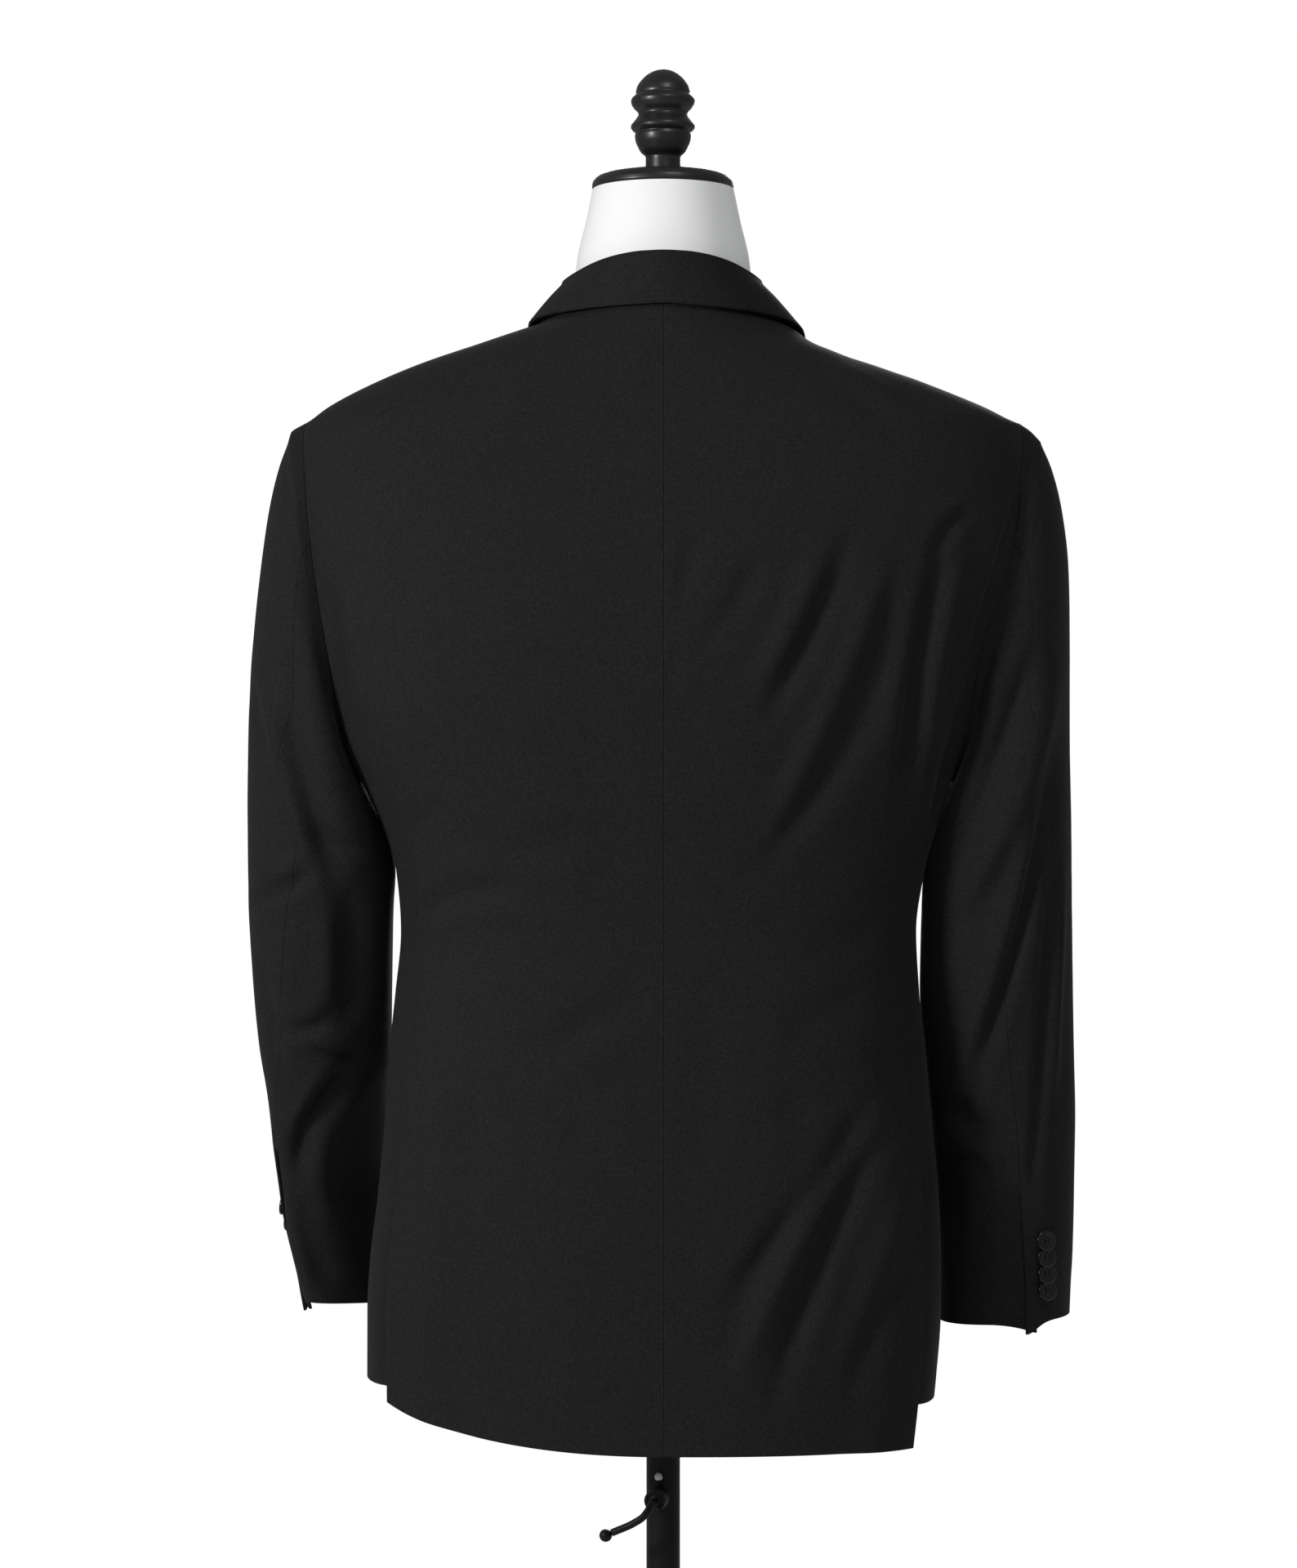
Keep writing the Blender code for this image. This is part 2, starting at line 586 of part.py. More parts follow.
def front_panel(side):
    """Front, from the side panel's seam, the armhole and the shoulder to the front edge."""
    share = np.linspace(0.0, 1.0, FINE_POINTS)
    hem = SIDE_HEM[side] + (FRONT_HEM - SIDE_HEM[side]) * share
    rows = []
    for heights in low_rows(hem, armhole_height(SIDE_SEAM_STEP)):
        edge = turn_at_depth(side, False, heights[0], seam_depth(heights[0], "front"))
        rows.append((heights, edge))
    for step in range(SIDE_SEAM_STEP, -1, -1):
        height = armhole_height(step)
        edge = turn_at_depth(side, False, height, armhole_depth(step))
        rows.append((np.full(FINE_POINTS, height), edge))
    for row in range(1, SHOULDER_ROWS + 1):
        height = TIP_HEIGHT + (NECK_POINT_HEIGHT - TIP_HEIGHT) * row / SHOULDER_ROWS
        rows.append((np.full(FINE_POINTS, height), 0.0))
    grid = []
    for heights, edge in rows:
        end = turn_at_width(side, False, heights[-1], front_edge_x(heights[-1]))
        turns = edge + (end - edge) * share
        grid.append(even_row(side, False, turns, heights, FRONT_COLUMNS))
    grid = np.array(grid)
    if side == LEFT:
        grid[..., 1] -= overlap_lift(grid[..., 0])
    return trim_columns(grid, seam_trim(), 0.0)


def overlap_lift(x):
    """The left front lies over the right one, so it stands out near the centre."""
    return OVERLAP_LIFT * (1 - ease(x, OVERLAP_RAMP[0], OVERLAP_RAMP[1]))


def front_surface(side, x, height):
    """Points on a front's outer surface at a distance x towards its own side and a height."""
    turn = turn_at_width(side, False, height, x)
    points = body_point(side, False, turn, height)
    if side == LEFT:
        points[..., 1] -= overlap_lift(points[..., 0])
    return points


def lapel(side):
    """Lapel, which lies on the front between the roll line and its own outer edge."""
    share = np.linspace(0.0, 1.0, LAPEL_COLUMN_COUNT)
    grid = []
    for row in range(LAPEL_ROWS):
        start = LAPEL_START[side]
        middle = start + (LAPEL_TIP_HEIGHT - start) * row / (LAPEL_ROWS - 1)
        rise = (LAPEL_GORGE_HEIGHT - LAPEL_TIP_HEIGHT) * ease(row / (LAPEL_ROWS - 1), 0.5, 1.0)
        heights = middle + rise * np.clip((1 - share) / (1 - NOTCH_SHARE), 0.0, 1.0)
        outer = smooth(middle, LAPEL["height"], LAPEL["outer_x"])
        inner = roll_x(heights[0])
        x = inner + (outer - inner) * share
        grid.append(front_surface(side, x, heights))
    grid = moved_out(np.array(grid), np.full((LAPEL_ROWS, LAPEL_COLUMN_COUNT), LAPEL_OUT))
    return trim_columns(grid, LAPEL_TRIM, 0.0)


def patch(side, reach, heights, rise, rows, columns):
    """A flap or welt that lies on a front: its points are the front's, moved out."""
    share = np.linspace(0.0, 1.0, columns)
    grid = []
    for row in range(rows):
        height = heights[0] + (heights[1] - heights[0]) * row / (rows - 1) + rise * share
        x = reach[0] + (reach[1] - reach[0]) * share
        grid.append(front_surface(side, x, height))
    return moved_out(np.array(grid), np.full((rows, columns), PATCH_OUT))


def sleeve_rings(side):
    """Rings from the armhole to the cuff, each a rounded loop between its outer and inner points."""
    sections = table(SLEEVE_COLUMNS, SLEEVE_SECTIONS[side])
    count = len(sections["keep"])
    place = np.linspace(0.0, count - 1.0, SLEEVE_ROWS)
    sizes = {name: smooth(place, np.arange(count, dtype=float), values)
             for name, values in sections.items()}
    angle = 2 * math.pi * np.arange(ARM_STEPS) / ARM_STEPS
    loop = armhole_loop(side)
    base = sleeve_ring(angle, side, abs(loop[0, 0]), loop[0, 2], abs(loop[ARM_STEPS // 2, 0]),
                       loop[ARM_STEPS // 2, 2], 0.0, ARMHOLE_HALF_DEPTH, ARMHOLE_POWER, 0.0)
    rest = loop - base
    upper = np.clip(np.cos(angle), 0.0, 1.0) ** 2
    start = SLEEVE_START + (SLEEVE_START_TOP - SLEEVE_START) * upper
    rings = [loop + np.stack([side * start, 0 * start, 0 * start], axis=-1)]
    for i in range(SLEEVE_ROWS):
        twisted = angle + math.radians(sizes["twist"][i])
        ring = sleeve_ring(twisted, side, sizes["outer_x"][i], sizes["outer_z"][i],
                           sizes["inner_x"][i], sizes["inner_z"][i], sizes["middle_y"][i],
                           sizes["half_depth"][i], SLEEVE_POWER, math.radians(sizes["lean"][i]))
        rings.append(ring + sizes["keep"][i] * rest)
    rings = np.array(rings)
    degrees = np.degrees(angle)
    spread = (degrees - 360 * BACK_SEAM_STEP / ARM_STEPS) / CUFF_DROP_WIDTH
    rings[-1, :, 2] -= CUFF_DROP * np.exp(-spread ** 2)
    twist = np.concatenate([[0.0], sizes["twist"]])
    return rings, twist


def sleeve_ring(angle, side, outer_x, outer_z, inner_x, inner_z, middle_y, half_depth, power, lean):
    """Centre + half (outer - inner) cos^(2/p) + half-depth sin^(2/p), from the outer side round.
    The lean is added to the sine's angle, which lays an emptier sleeve on the slant."""
    outer = np.array([side * outer_x, middle_y, outer_z])
    inner = np.array([side * inner_x, middle_y, inner_z])
    across = np.sign(np.cos(angle)) * np.abs(np.cos(angle)) ** (2 / power)
    deep = np.sign(np.sin(angle + lean)) * np.abs(np.sin(angle + lean)) ** (2 / power)
    middle = (outer + inner) / 2
    return middle + across[:, None] * (outer - inner) / 2 + deep[:, None] * [0.0, half_depth, 0.0]


def folded_sleeve(side):
    """The sleeve's rings with its largest folds pushed in, away from the armhole and the cuff."""
    rings, twist = sleeve_rings(side)
    degrees = 360 * np.arange(ARM_STEPS) / ARM_STEPS + twist[:, None]
    across = np.where(degrees > 180, degrees - 360, degrees)
    name = "sleeve_" + SIDE_NAMES[side]
    scaled = []
    for fold in FOLDS[name]:
        start, low, end, high, width, depth = fold
        scaled.append((start * SLEEVE_MM_PER_DEGREE, low, end * SLEEVE_MM_PER_DEGREE, high,
                       width, depth))
    push = fold_push(across * SLEEVE_MM_PER_DEGREE, rings[..., 2], scaled)
    push[:SLEEVE_PLAIN_RINGS] = 0.0
    push[-2:] = 0.0
    middle = rings.mean(axis=1, keepdims=True)
    outward = unit(rings - middle)
    return rings + push[..., None] * outward


def sleeve_piece(rings, first, last):
    """The columns of the sleeve from one seam to the other, drawn in by the seam gap."""
    steps = np.arange(first, last + 1) % ARM_STEPS
    trim = np.full((len(rings), 1), SLEEVE_TRIM)
    trim[:SLEEVE_CAP_RINGS] = SLEEVE_CAP_TRIM
    return trim_columns(rings[:, steps], trim, trim)


def collar_station(seam, fold, edge, up):
    """One cross-section of the collar: stand up from the seam, round the fold, down to the edge."""
    out = (edge - seam) - up * np.dot(edge - seam, up)
    out = out / np.linalg.norm(out)
    centre = fold - up * COLLAR_FOLD_RADIUS
    inside = centre - out * COLLAR_FOLD_RADIUS
    outside = centre + out * COLLAR_FOLD_RADIUS
    shoulder = COLLAR_FOLD_RADIUS * math.sqrt(0.5)
    turned_in = centre + shoulder * (up - out)
    turned_out = centre + shoulder * (up + out)
    fall = [outside + (edge - outside) * share + up * bulge for share, bulge in FALL_POINTS]
    middle = (seam + inside) / 2
    return [seam, middle, inside, turned_in, fold, turned_out, outside, *fall, edge]


def surface_normal(side, behind, turn, height):
    """Outward unit normal of the coat's surface, from small steps round it and up."""
    here = body_point(side, behind, turn, height)
    round_step = body_point(side, behind, turn + 0.01, height) - here
    up_step = body_point(side, behind, turn, height - 1.0) - here
    normal = np.cross(round_step, up_step)
    normal = normal / np.linalg.norm(normal)
    return normal if np.dot(normal[:2], here[:2]) > 0 else -normal


def sampled(columns, rows, places):
    """Each column of a short table, read smoothly at places along its first column."""
    values = table(columns, rows)
    knots = values[columns[0]]
    return [{name: float(smooth(place, knots, values[name])) for name in columns}
            for place in places]


def collar_half(side):
    """Stations of one half of the collar, from centre back to the gorge."""
    stations = []
    upright = np.array([0.0, 0.0, 1.0])
    turns = np.linspace(90.0, 0.0, COLLAR_BACK_STATIONS)
    for size in sampled(COLLAR_BACK_COLUMNS, COLLAR_BACK, turns):
        turn = math.radians(size["turn"])
        seam_height = float(neckline(1 - size["turn"] / 90.0)) + COLLAR_SEAM_RAISE
        seam = body_point(side, True, turn, seam_height)
        inward = np.array([-seam[0], -seam[1], 0.0])
        inward = inward / np.linalg.norm(inward)
        fold = seam + upright * size["rise"] + inward * size["lean"]
        low = size[SIDE_NAMES[side] + "_edge"]
        edge = body_point(side, True, turn, low)
        normal = surface_normal(side, True, max(turn, 0.02), low)
        edge = edge + size["edge_out"] * normal
        stations.append(collar_station(seam, fold, edge, upright))
    heights = np.linspace(COLLAR_FRONT[-1][0], COLLAR_FRONT[0][0], COLLAR_FRONT_STATIONS)
    for size in sampled(COLLAR_FRONT_COLUMNS, COLLAR_FRONT, heights):
        height = size["seam_height"]
        inner = roll_x(height)
        turn = turn_at_width(side, False, height, inner)
        normal = surface_normal(side, False, turn, height)
        up = unit(size["upright"] * upright + (1 - size["upright"]) * normal)
        seam = front_surface(side, inner, height) + np.array([-side * COLLAR_SEAM_IN, 0.0, 0.0])
        seam = seam + up * COLLAR_SEAM_RAISE
        fold = seam + up * size["rise"]
        low = size[SIDE_NAMES[side] + "_edge"]
        edge_turn = turn_at_width(side, False, low, size[SIDE_NAMES[side] + "_x"])
        edge = body_point(side, False, edge_turn, low)
        normal = surface_normal(side, False, edge_turn, low)
        edge = edge + size["edge_out"] * normal
        stations.append(collar_station(seam, fold, edge, up))
    return stations


def collar_grid():
    """The whole collar, from the right gorge round the neck to the left one."""
    left = collar_half(LEFT)
    right = collar_half(RIGHT)
    return np.array(right[:0:-1] + left)


def make_material(finish):
    """Principled material with a colour, a roughness and a metallic value."""
    name, colour, roughness, metallic = finish
    found = bpy.data.materials.get(name)
    if found:
        return found
    material = bpy.data.materials.new(name)
    material.use_nodes = True
    shader = material.node_tree.nodes["Principled BSDF"]
    shader.inputs["Base Color"].default_value = (*colour, 1.0)
    shader.inputs["Roughness"].default_value = roughness
    shader.inputs["Metallic"].default_value = metallic
    return material


def add_object(name, mesh, finish, collection):
    """Places a mesh in the collection as one named object with its material."""
    obj = bpy.data.objects.new(name, mesh)
    mesh.materials.append(make_material(finish))
    collection.objects.link(obj)
    mesh.shade_smooth()
    return obj


def grid_mesh(name, grid, closed_round=False):
    """Quads over a grid of points in millimetres."""
    rows, columns = grid.shape[:2]
    index = np.arange(rows * columns).reshape(rows, columns)
    if closed_round:
        index = np.concatenate([index, index[:, :1]], axis=1)
    faces = np.stack([index[:-1, :-1], index[:-1, 1:], index[1:, 1:], index[1:, :-1]], axis=-1)
    mesh = bpy.data.meshes.new(name)
    mesh.from_pydata((grid.reshape(-1, 3) * MM).tolist(), [], faces.reshape(-1, 4).tolist())
    return mesh


def face_away_from(mesh, inside):
    """Turns the faces of an open sheet so that they look away from a point inside."""
    bm = bmesh.new()
    bm.from_mesh(mesh)
    looking = sum((face.calc_center_median() - inside(face.calc_center_median())).dot(face.normal)
                  * face.calc_area() for face in bm.faces)
    if looking < 0:
        bmesh.ops.reverse_faces(bm, faces=bm.faces[:])
    bm.to_mesh(mesh)
    bm.free()


def pole_axis_point(centre):
    """The point of the pole's axis at a face's height."""
    point = centre.copy()
    point.x = 0.0
    point.y = 0.0
    return point


def wall(name, grid, finish, collection, thickness=CLOTH, inside=pole_axis_point):
    """A cloth wall: the grid is its outer face and its thickness goes inwards."""
    mesh = grid_mesh(name, grid)
    face_away_from(mesh, inside)
    obj = add_object(name, mesh, finish, collection)
    solidify = obj.modifiers.new("cloth", "SOLIDIFY")
    solidify.thickness = thickness * MM
    solidify.offset = -1.0
    solidify.use_even_offset = False
    return obj


def closed_loft(name, rings, finish, collection):
    """A closed solid through rings, from the lowest to the highest, with fans over its ends."""
    rings = np.asarray(rings)
    mesh = grid_mesh(name, rings, closed_round=True)
    bm = bmesh.new()
    bm.from_mesh(mesh)
    bm.verts.ensure_lookup_table()
    count = rings.shape[1]
    for ring in (0, len(rings) - 1):
        centre = bm.verts.new(rings[ring].mean(axis=0) * MM)
        bm.verts.ensure_lookup_table()
        for i in range(count):
            first = bm.verts[ring * count + i]
            second = bm.verts[ring * count + (i + 1) % count]
            bm.faces.new((first, second, centre))
    bmesh.ops.recalc_face_normals(bm, faces=bm.faces[:])
    bm.to_mesh(mesh)
    bm.free()
    obj = add_object(name, mesh, finish, collection)
    mesh.set_sharp_from_angle(angle=math.radians(50))
    return obj


def turned(name, profile, finish, collection, steps=32):
    """A turned shape: its profile runs down the outer side and is spun round the pole's axis."""
    mesh = bpy.data.meshes.new(name)
    points = [(radius * MM, 0.0, height * MM) for radius, height in profile]
    edges = [(i, i + 1) for i in range(len(points) - 1)]
    if profile[0][0] > 0:
        edges.append((len(points) - 1, 0))
    mesh.from_pydata(points, edges, [])
    obj = add_object(name, mesh, finish, collection)
    screw = obj.modifiers.new("turn", "SCREW")
    screw.steps = steps
    screw.render_steps = steps
    screw.use_merge_vertices = True
    screw.merge_threshold = 0.00005
    screw.use_smooth_shade = True
    return obj


def disc(name, radius, thickness, finish, collection, steps=20):
    """A button or pin head: a cylinder about its own Z with rounded rims."""
    bpy.ops.mesh.primitive_cylinder_add(vertices=steps, radius=radius * MM, depth=thickness * MM)
    obj = bpy.context.object
    obj.name = name
    for linked in list(obj.users_collection):
        linked.objects.unlink(obj)
    collection.objects.link(obj)
    obj.data.materials.append(make_material(finish))
    bevel = obj.modifiers.new("rim", "BEVEL")
    bevel.width = BUTTON_RIM_SHARE * thickness * MM
    bevel.segments = 1
    bevel.limit_method = "ANGLE"
    obj.data.shade_smooth()
    obj.data.set_sharp_from_angle(angle=math.radians(40))
    return obj


def aim(obj, place, axis, up):
    """Places an object, with its own Z along an axis and its Y near another direction."""
    z = unit(np.asarray(axis, float))
    x = unit(np.cross(np.asarray(up, float), z))
    y = np.cross(z, x)
    matrix = np.eye(4)
    matrix[:3, 0] = x
    matrix[:3, 1] = y
    matrix[:3, 2] = z
    matrix[:3, 3] = np.asarray(place) * MM
    obj.matrix_world = Matrix(matrix.tolist())


def form_ring(height):
    """Ring of the dress form at a height: the coat's section, drawn in and cut at the arm ends."""
    angle = 2 * math.pi * np.arange(FORM_STEPS) / FORM_STEPS
    inset = smooth(height, FORM["height"], FORM["inset"])
    arm_end = smooth(height, FORM["height"], FORM["arm_end"])
    section_height = height + FORM_DROP * ease(height, *FORM_DROP_HEIGHTS)
    points = []
    for turn in angle:
        side = LEFT if math.cos(turn) >= 0 else RIGHT
        behind = math.sin(turn) >= 0
        quarter = math.acos(min(1.0, abs(math.cos(turn))))
        point = body_point(side, behind, quarter, section_height)
        width, depth, power = body_sizes(side, behind, section_height)
        x = point[0] * (width - inset) / width
        y = point[1] * (depth - inset) / depth
        points.append((max(-arm_end, min(arm_end, x)), y, height))
    return points


def neck_ring(height):
    """Ring of the form's neck: a plain oval, fuller behind than in front."""
    angle = 2 * math.pi * np.arange(FORM_STEPS) / FORM_STEPS
    half_width = smooth(height, NECK["height"], NECK["half_width"])
    back = smooth(height, NECK["height"], NECK["back"])
    front = smooth(height, NECK["height"], NECK["front"])
    y = np.where(np.sin(angle) >= 0, back, front) * np.sin(angle)
    return np.stack([half_width * np.cos(angle), y, np.full(FORM_STEPS, height)], axis=-1)


def build_form(collection):
    """Torso of the form with its shoulders and neck, one closed smooth solid."""
    low = np.linspace(FORM_BOTTOM, FORM_LOW_TOP, FORM_LOW_ROWS)
    rings = [form_ring(height) for height in np.concatenate([low, FORM_SHOULDER_HEIGHTS])]
    rings += [neck_ring(row[0]) for row in NECK_SECTIONS]
    closed_loft("form_torso", rings, JERSEY, collection)
    turned("neck_cap", CAP_PROFILE, SATIN_BLACK, collection, steps=28)
    turned("finial", FINIAL_PROFILE, SATIN_BLACK, collection, steps=20)


def build_body(collection):
    """Backs, side panels, fronts, lapels, flaps and breast welt."""
    for side in (LEFT, RIGHT):
        name = SIDE_NAMES[side]
        wall("back_" + name, back_panel(side), WOOL, collection)
        wall("side_" + name, side_panel(side), WOOL, collection)
        wall("front_" + name, front_panel(side), WOOL, collection)
        wall("lapel_" + name, lapel(side), WOOL, collection)
        flap = patch(side, FLAP_X, FLAP_HEIGHTS, 0.0, 4, 7)
        wall("flap_" + name, flap, WOOL, collection, thickness=PATCH_THICKNESS)
    welt = patch(LEFT, WELT_X, WELT_HEIGHTS, WELT_RISE, 3, 6)
    wall("breast_welt", welt, WOOL, collection, thickness=PATCH_THICKNESS)


def build_sleeves(collection):
    """Top sleeve and under sleeve of each arm, with the cuff buttons beside the back seam."""
    for side in (LEFT, RIGHT):
        rings = folded_sleeve(side)
        middles = rings.mean(axis=1) * MM
        name = SIDE_NAMES[side]

        def sleeve_axis_point(centre):
            nearest = np.argmin(np.linalg.norm(middles - np.array(centre), axis=1))
            return Vector(middles[nearest])

        top = sleeve_piece(rings, FRONT_SEAM_STEP - ARM_STEPS, BACK_SEAM_STEP)
        under = sleeve_piece(rings, BACK_SEAM_STEP, FRONT_SEAM_STEP)
        wall("sleeve_top_" + name, top, WOOL, collection, inside=sleeve_axis_point)
        wall("sleeve_under_" + name, under, WOOL, collection, inside=sleeve_axis_point)
        cuff_buttons(side, rings, collection)


def cuff_buttons(side, rings, collection):
    """A row of buttons up the cuff, each tilted so that it laps over the one below."""
    exact = CUFF_BUTTON_ANGLE[side] * ARM_STEPS / 360
    before = int(exact)
    turning = rings[:, before + 1] - rings[:, before]
    column = rings[:, before] + turning * (exact - before)
    middles = rings.mean(axis=1)
    order = np.argsort(column[:, 2])
    for i in range(CUFF_BUTTON_COUNT):
        height = CUFF_BUTTON_LOWEST[side] + i * CUFF_BUTTON_SPACING
        place = np.array([np.interp(height, column[order, 2], column[order, k]) for k in range(3)])
        middle = np.array([np.interp(height, middles[::-1, 2], middles[::-1, k]) for k in range(3)])
        near = height + np.array([-CUFF_BUTTON_REACH, CUFF_BUTTON_REACH])
        ends = np.stack([np.interp(near, column[order, 2], column[order, k]) for k in range(3)], axis=-1)
        along = unit(ends[1] - ends[0])
        around = np.array([np.interp(height, column[order, 2], turning[order, k]) for k in range(3)])
        out = unit(np.cross(around, along))
        out = out * np.sign(np.dot(out, place - middle))
        tilt = math.radians(CUFF_BUTTON_TILT)
        axis = out * math.cos(tilt) + along * math.sin(tilt)
        stand = CUFF_BUTTON_RADIUS * math.sin(tilt) + CUFF_BUTTON_THICKNESS / 2 + CUFF_BUTTON_CLEAR
        name = f"cuff_button_{SIDE_NAMES[side]}_{i + 1}"
        button = disc(name, CUFF_BUTTON_RADIUS, CUFF_BUTTON_THICKNESS, HORN, collection, steps=14)
        aim(button, place + out * stand, axis, along)


def build_collar(collection):
    """Collar with its stand and its fall in one folded wall."""
    grid = collar_grid()
    middles = (grid[:, 0] + grid[:, 2] + grid[:, 6] + grid[:, -1]) / 4 * MM

    def under_fold(centre):
        nearest = np.argmin(np.linalg.norm(middles - np.array(centre), axis=1))
        return Vector(middles[nearest])

    wall("collar", grid, WOOL, collection, inside=under_fold)


def build_front_buttons(collection):
    """Two buttons on the left front, on the centre line."""
    for i, height in enumerate(BUTTON_HEIGHTS):
        place = front_surface(LEFT, np.array(0.0), np.array(height))
        button = disc(f"front_button_{i + 1}", FRONT_BUTTON_RADIUS, FRONT_BUTTON_THICKNESS, HORN,
                      collection)
        place = place + np.array([0.0, -(FRONT_BUTTON_THICKNESS / 2 + BUTTON_GAP), 0.0])
        aim(button, place, (0.0, -1.0, 0.0), (0.0, 0.0, 1.0))


def pole_profile():
    """Inner pole with the round flange that carries the form."""
    top = FORM_BOTTOM - SEAM_GAP
    under = top - FLANGE_THICKNESS
    return ((0.0, top), (FLANGE_RADIUS, top), (FLANGE_RADIUS, under), (POLE_RADIUS, under),
            (POLE_RADIUS, POLE_BOTTOM), (0.0, POLE_BOTTOM))


def tube_profile():
    """Outer tube of the stand, open at the top for the inner pole."""
    return ((TUBE_BORE, TUBE_TOP), (TUBE_RADIUS, TUBE_TOP), (TUBE_RADIUS, TUBE_FOOT),
            (TUBE_BORE, TUBE_FOOT))


def clamp_direction():
    """Horizontal direction in which the clamp faces, a little to the left of straight back."""
    turn = math.radians(CLAMP_TURN)
    return np.array([-math.sin(turn), math.cos(turn), 0.0])


def lever_mesh(name, points, radius):
    """A bent rod through the points, closed at its ends."""
    curve = bpy.data.curves.new(name, "CURVE")
    curve.dimensions = "3D"
    curve.bevel_depth = radius * MM
    curve.bevel_resolution = 2
    curve.use_fill_caps = True
    spline = curve.splines.new("POLY")
    spline.points.add(len(points) - 1)
    for i, point in enumerate(points):
        spline.points[i].co = (*(np.asarray(point) * MM), 1.0)
    holder = bpy.data.objects.new(name + "_curve", curve)
    bpy.context.scene.collection.objects.link(holder)
    evaluated = holder.evaluated_get(bpy.context.evaluated_depsgraph_get())
    mesh = bpy.data.meshes.new_from_object(evaluated)
    bpy.data.objects.remove(holder)
    bm = bmesh.new()
    bm.from_mesh(mesh)
    bmesh.ops.remove_doubles(bm, verts=bm.verts[:], dist=0.00001)
    bm.to_mesh(mesh)
    bm.free()
    return mesh


def build_clamp(collection):
    """Boss on the tube, the bent lever that turns in it, its ball, and a small screw above."""
    out = clamp_direction()
    across = np.array([out[1], -out[0], 0.0])
    up = np.array([0.0, 0.0, 1.0])
    boss = disc("clamp_boss", BOSS_RADIUS, BOSS_LENGTH, STEEL_BLACK, collection, steps=16)
    aim(boss, out * (BOSS_START + BOSS_LENGTH / 2) + up * BOSS_HEIGHT, out, up)
    screw = disc("clamp_screw", SCREW_RADIUS, SCREW_THICKNESS, SCREW_STEEL, collection, steps=12)
    screw_out = TUBE_RADIUS + SEAM_GAP + SCREW_THICKNESS / 2
    aim(screw, out * screw_out + up * SCREW_HEIGHT, out, up)
    route = []
    for row in LEVER_ROUTE:
        point = dict(zip(LEVER_ROUTE_COLUMNS, row))
        route.append(across * point["across"] + out * point["out"] + up * point["height"])
    mesh = lever_mesh("clamp_lever", route, LEVER_RADIUS)
    add_object("clamp_lever", mesh, STEEL_BLACK, collection)
    end = route[-1] + unit(route[-1] - route[-2]) * (LEVER_BALL_RADIUS + SEAM_GAP)
    ball = bpy.data.meshes.new("lever_ball")
    bm = bmesh.new()
    bmesh.ops.create_uvsphere(bm, u_segments=12, v_segments=8, radius=LEVER_BALL_RADIUS * MM)
    bmesh.ops.translate(bm, verts=bm.verts[:], vec=end * MM)
    bm.to_mesh(ball)
    bm.free()
    add_object("lever_ball", ball, STEEL_BLACK, collection)


def build_stand(collection):
    """Base, foot socket, outer tube, inner pole and clamp."""
    turned("base", BASE_PROFILE, STEEL_BLACK, collection, steps=40)
    turned("foot_socket", SOCKET_PROFILE, STEEL_BLACK, collection, steps=20)
    turned("outer_tube", tube_profile(), STEEL_BLACK, collection, steps=24)
    turned("inner_pole", pole_profile(), STEEL_BLACK, collection, steps=24)
    build_clamp(collection)


def main():
    """Clears the scene and builds the whole part."""
    for obj in list(bpy.data.objects):
        bpy.data.objects.remove(obj, do_unlink=True)
    collection = bpy.data.collections.new("wool_blazer_on_dress_form")
    bpy.context.scene.collection.children.link(collection)
    build_body(collection)
    build_sleeves(collection)
    build_collar(collection)
    build_front_buttons(collection)
    build_form(collection)
    build_stand(collection)


main()
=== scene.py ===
"""Looks of a black wool blazer on a dress form, which stands on a pole with a round base.

The coat faces -Y and its left is +X. The origin is on the floor, on the pole's axis.
Sizes in the tables and constants are millimetres. MM turns them into Blender's metres.
"""
import math
from functools import cache

import bpy
import numpy as np
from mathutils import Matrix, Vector


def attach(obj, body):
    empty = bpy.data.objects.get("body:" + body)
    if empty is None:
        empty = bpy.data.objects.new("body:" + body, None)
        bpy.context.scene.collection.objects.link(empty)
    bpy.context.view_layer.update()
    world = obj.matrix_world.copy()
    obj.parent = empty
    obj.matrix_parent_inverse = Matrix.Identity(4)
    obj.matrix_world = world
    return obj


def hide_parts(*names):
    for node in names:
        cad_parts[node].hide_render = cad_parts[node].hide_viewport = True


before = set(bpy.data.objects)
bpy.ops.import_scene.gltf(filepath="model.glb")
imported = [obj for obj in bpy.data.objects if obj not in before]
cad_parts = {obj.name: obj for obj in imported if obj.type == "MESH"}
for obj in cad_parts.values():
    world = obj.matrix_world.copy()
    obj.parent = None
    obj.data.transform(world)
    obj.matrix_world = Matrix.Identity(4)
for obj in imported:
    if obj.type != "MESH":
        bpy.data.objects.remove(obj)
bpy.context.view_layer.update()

MM = 0.001
LEFT = 1
RIGHT = -1
SIDE_NAMES = {LEFT: "left", RIGHT: "right"}

# Camera, level behind the coat
CAMERA_PLACE = (0.010, 2.6, 1.20)
CAMERA_LENS = 87.84
SENSOR = 36.0

FLOOR_HALF = 2600.0
FLOOR_HEIGHT = -0.6

# Lights: name, place, what it points at, width and power, in metres and watts
BACKDROP_STRENGTH = 1.0
ROOM_STRENGTH = 0.22
LIGHTS = (
    ("key", (1.75, 1.5, 1.7), (0.0, 0.0, 1.25), 0.5, 35.0),
    ("high", (-0.5, 1.6, 2.8), (0.0, 0.0, 1.45), 0.7, 11.0),
    ("front", (-0.4, -2.9, 2.1), (0.0, 0.0, 1.15), 1.4, 50.0),
)

# Where the shoulder is rounded off: height, reach and how many rows wide
SHOULDER_SOFT = (1445.0, 55.0, 9)

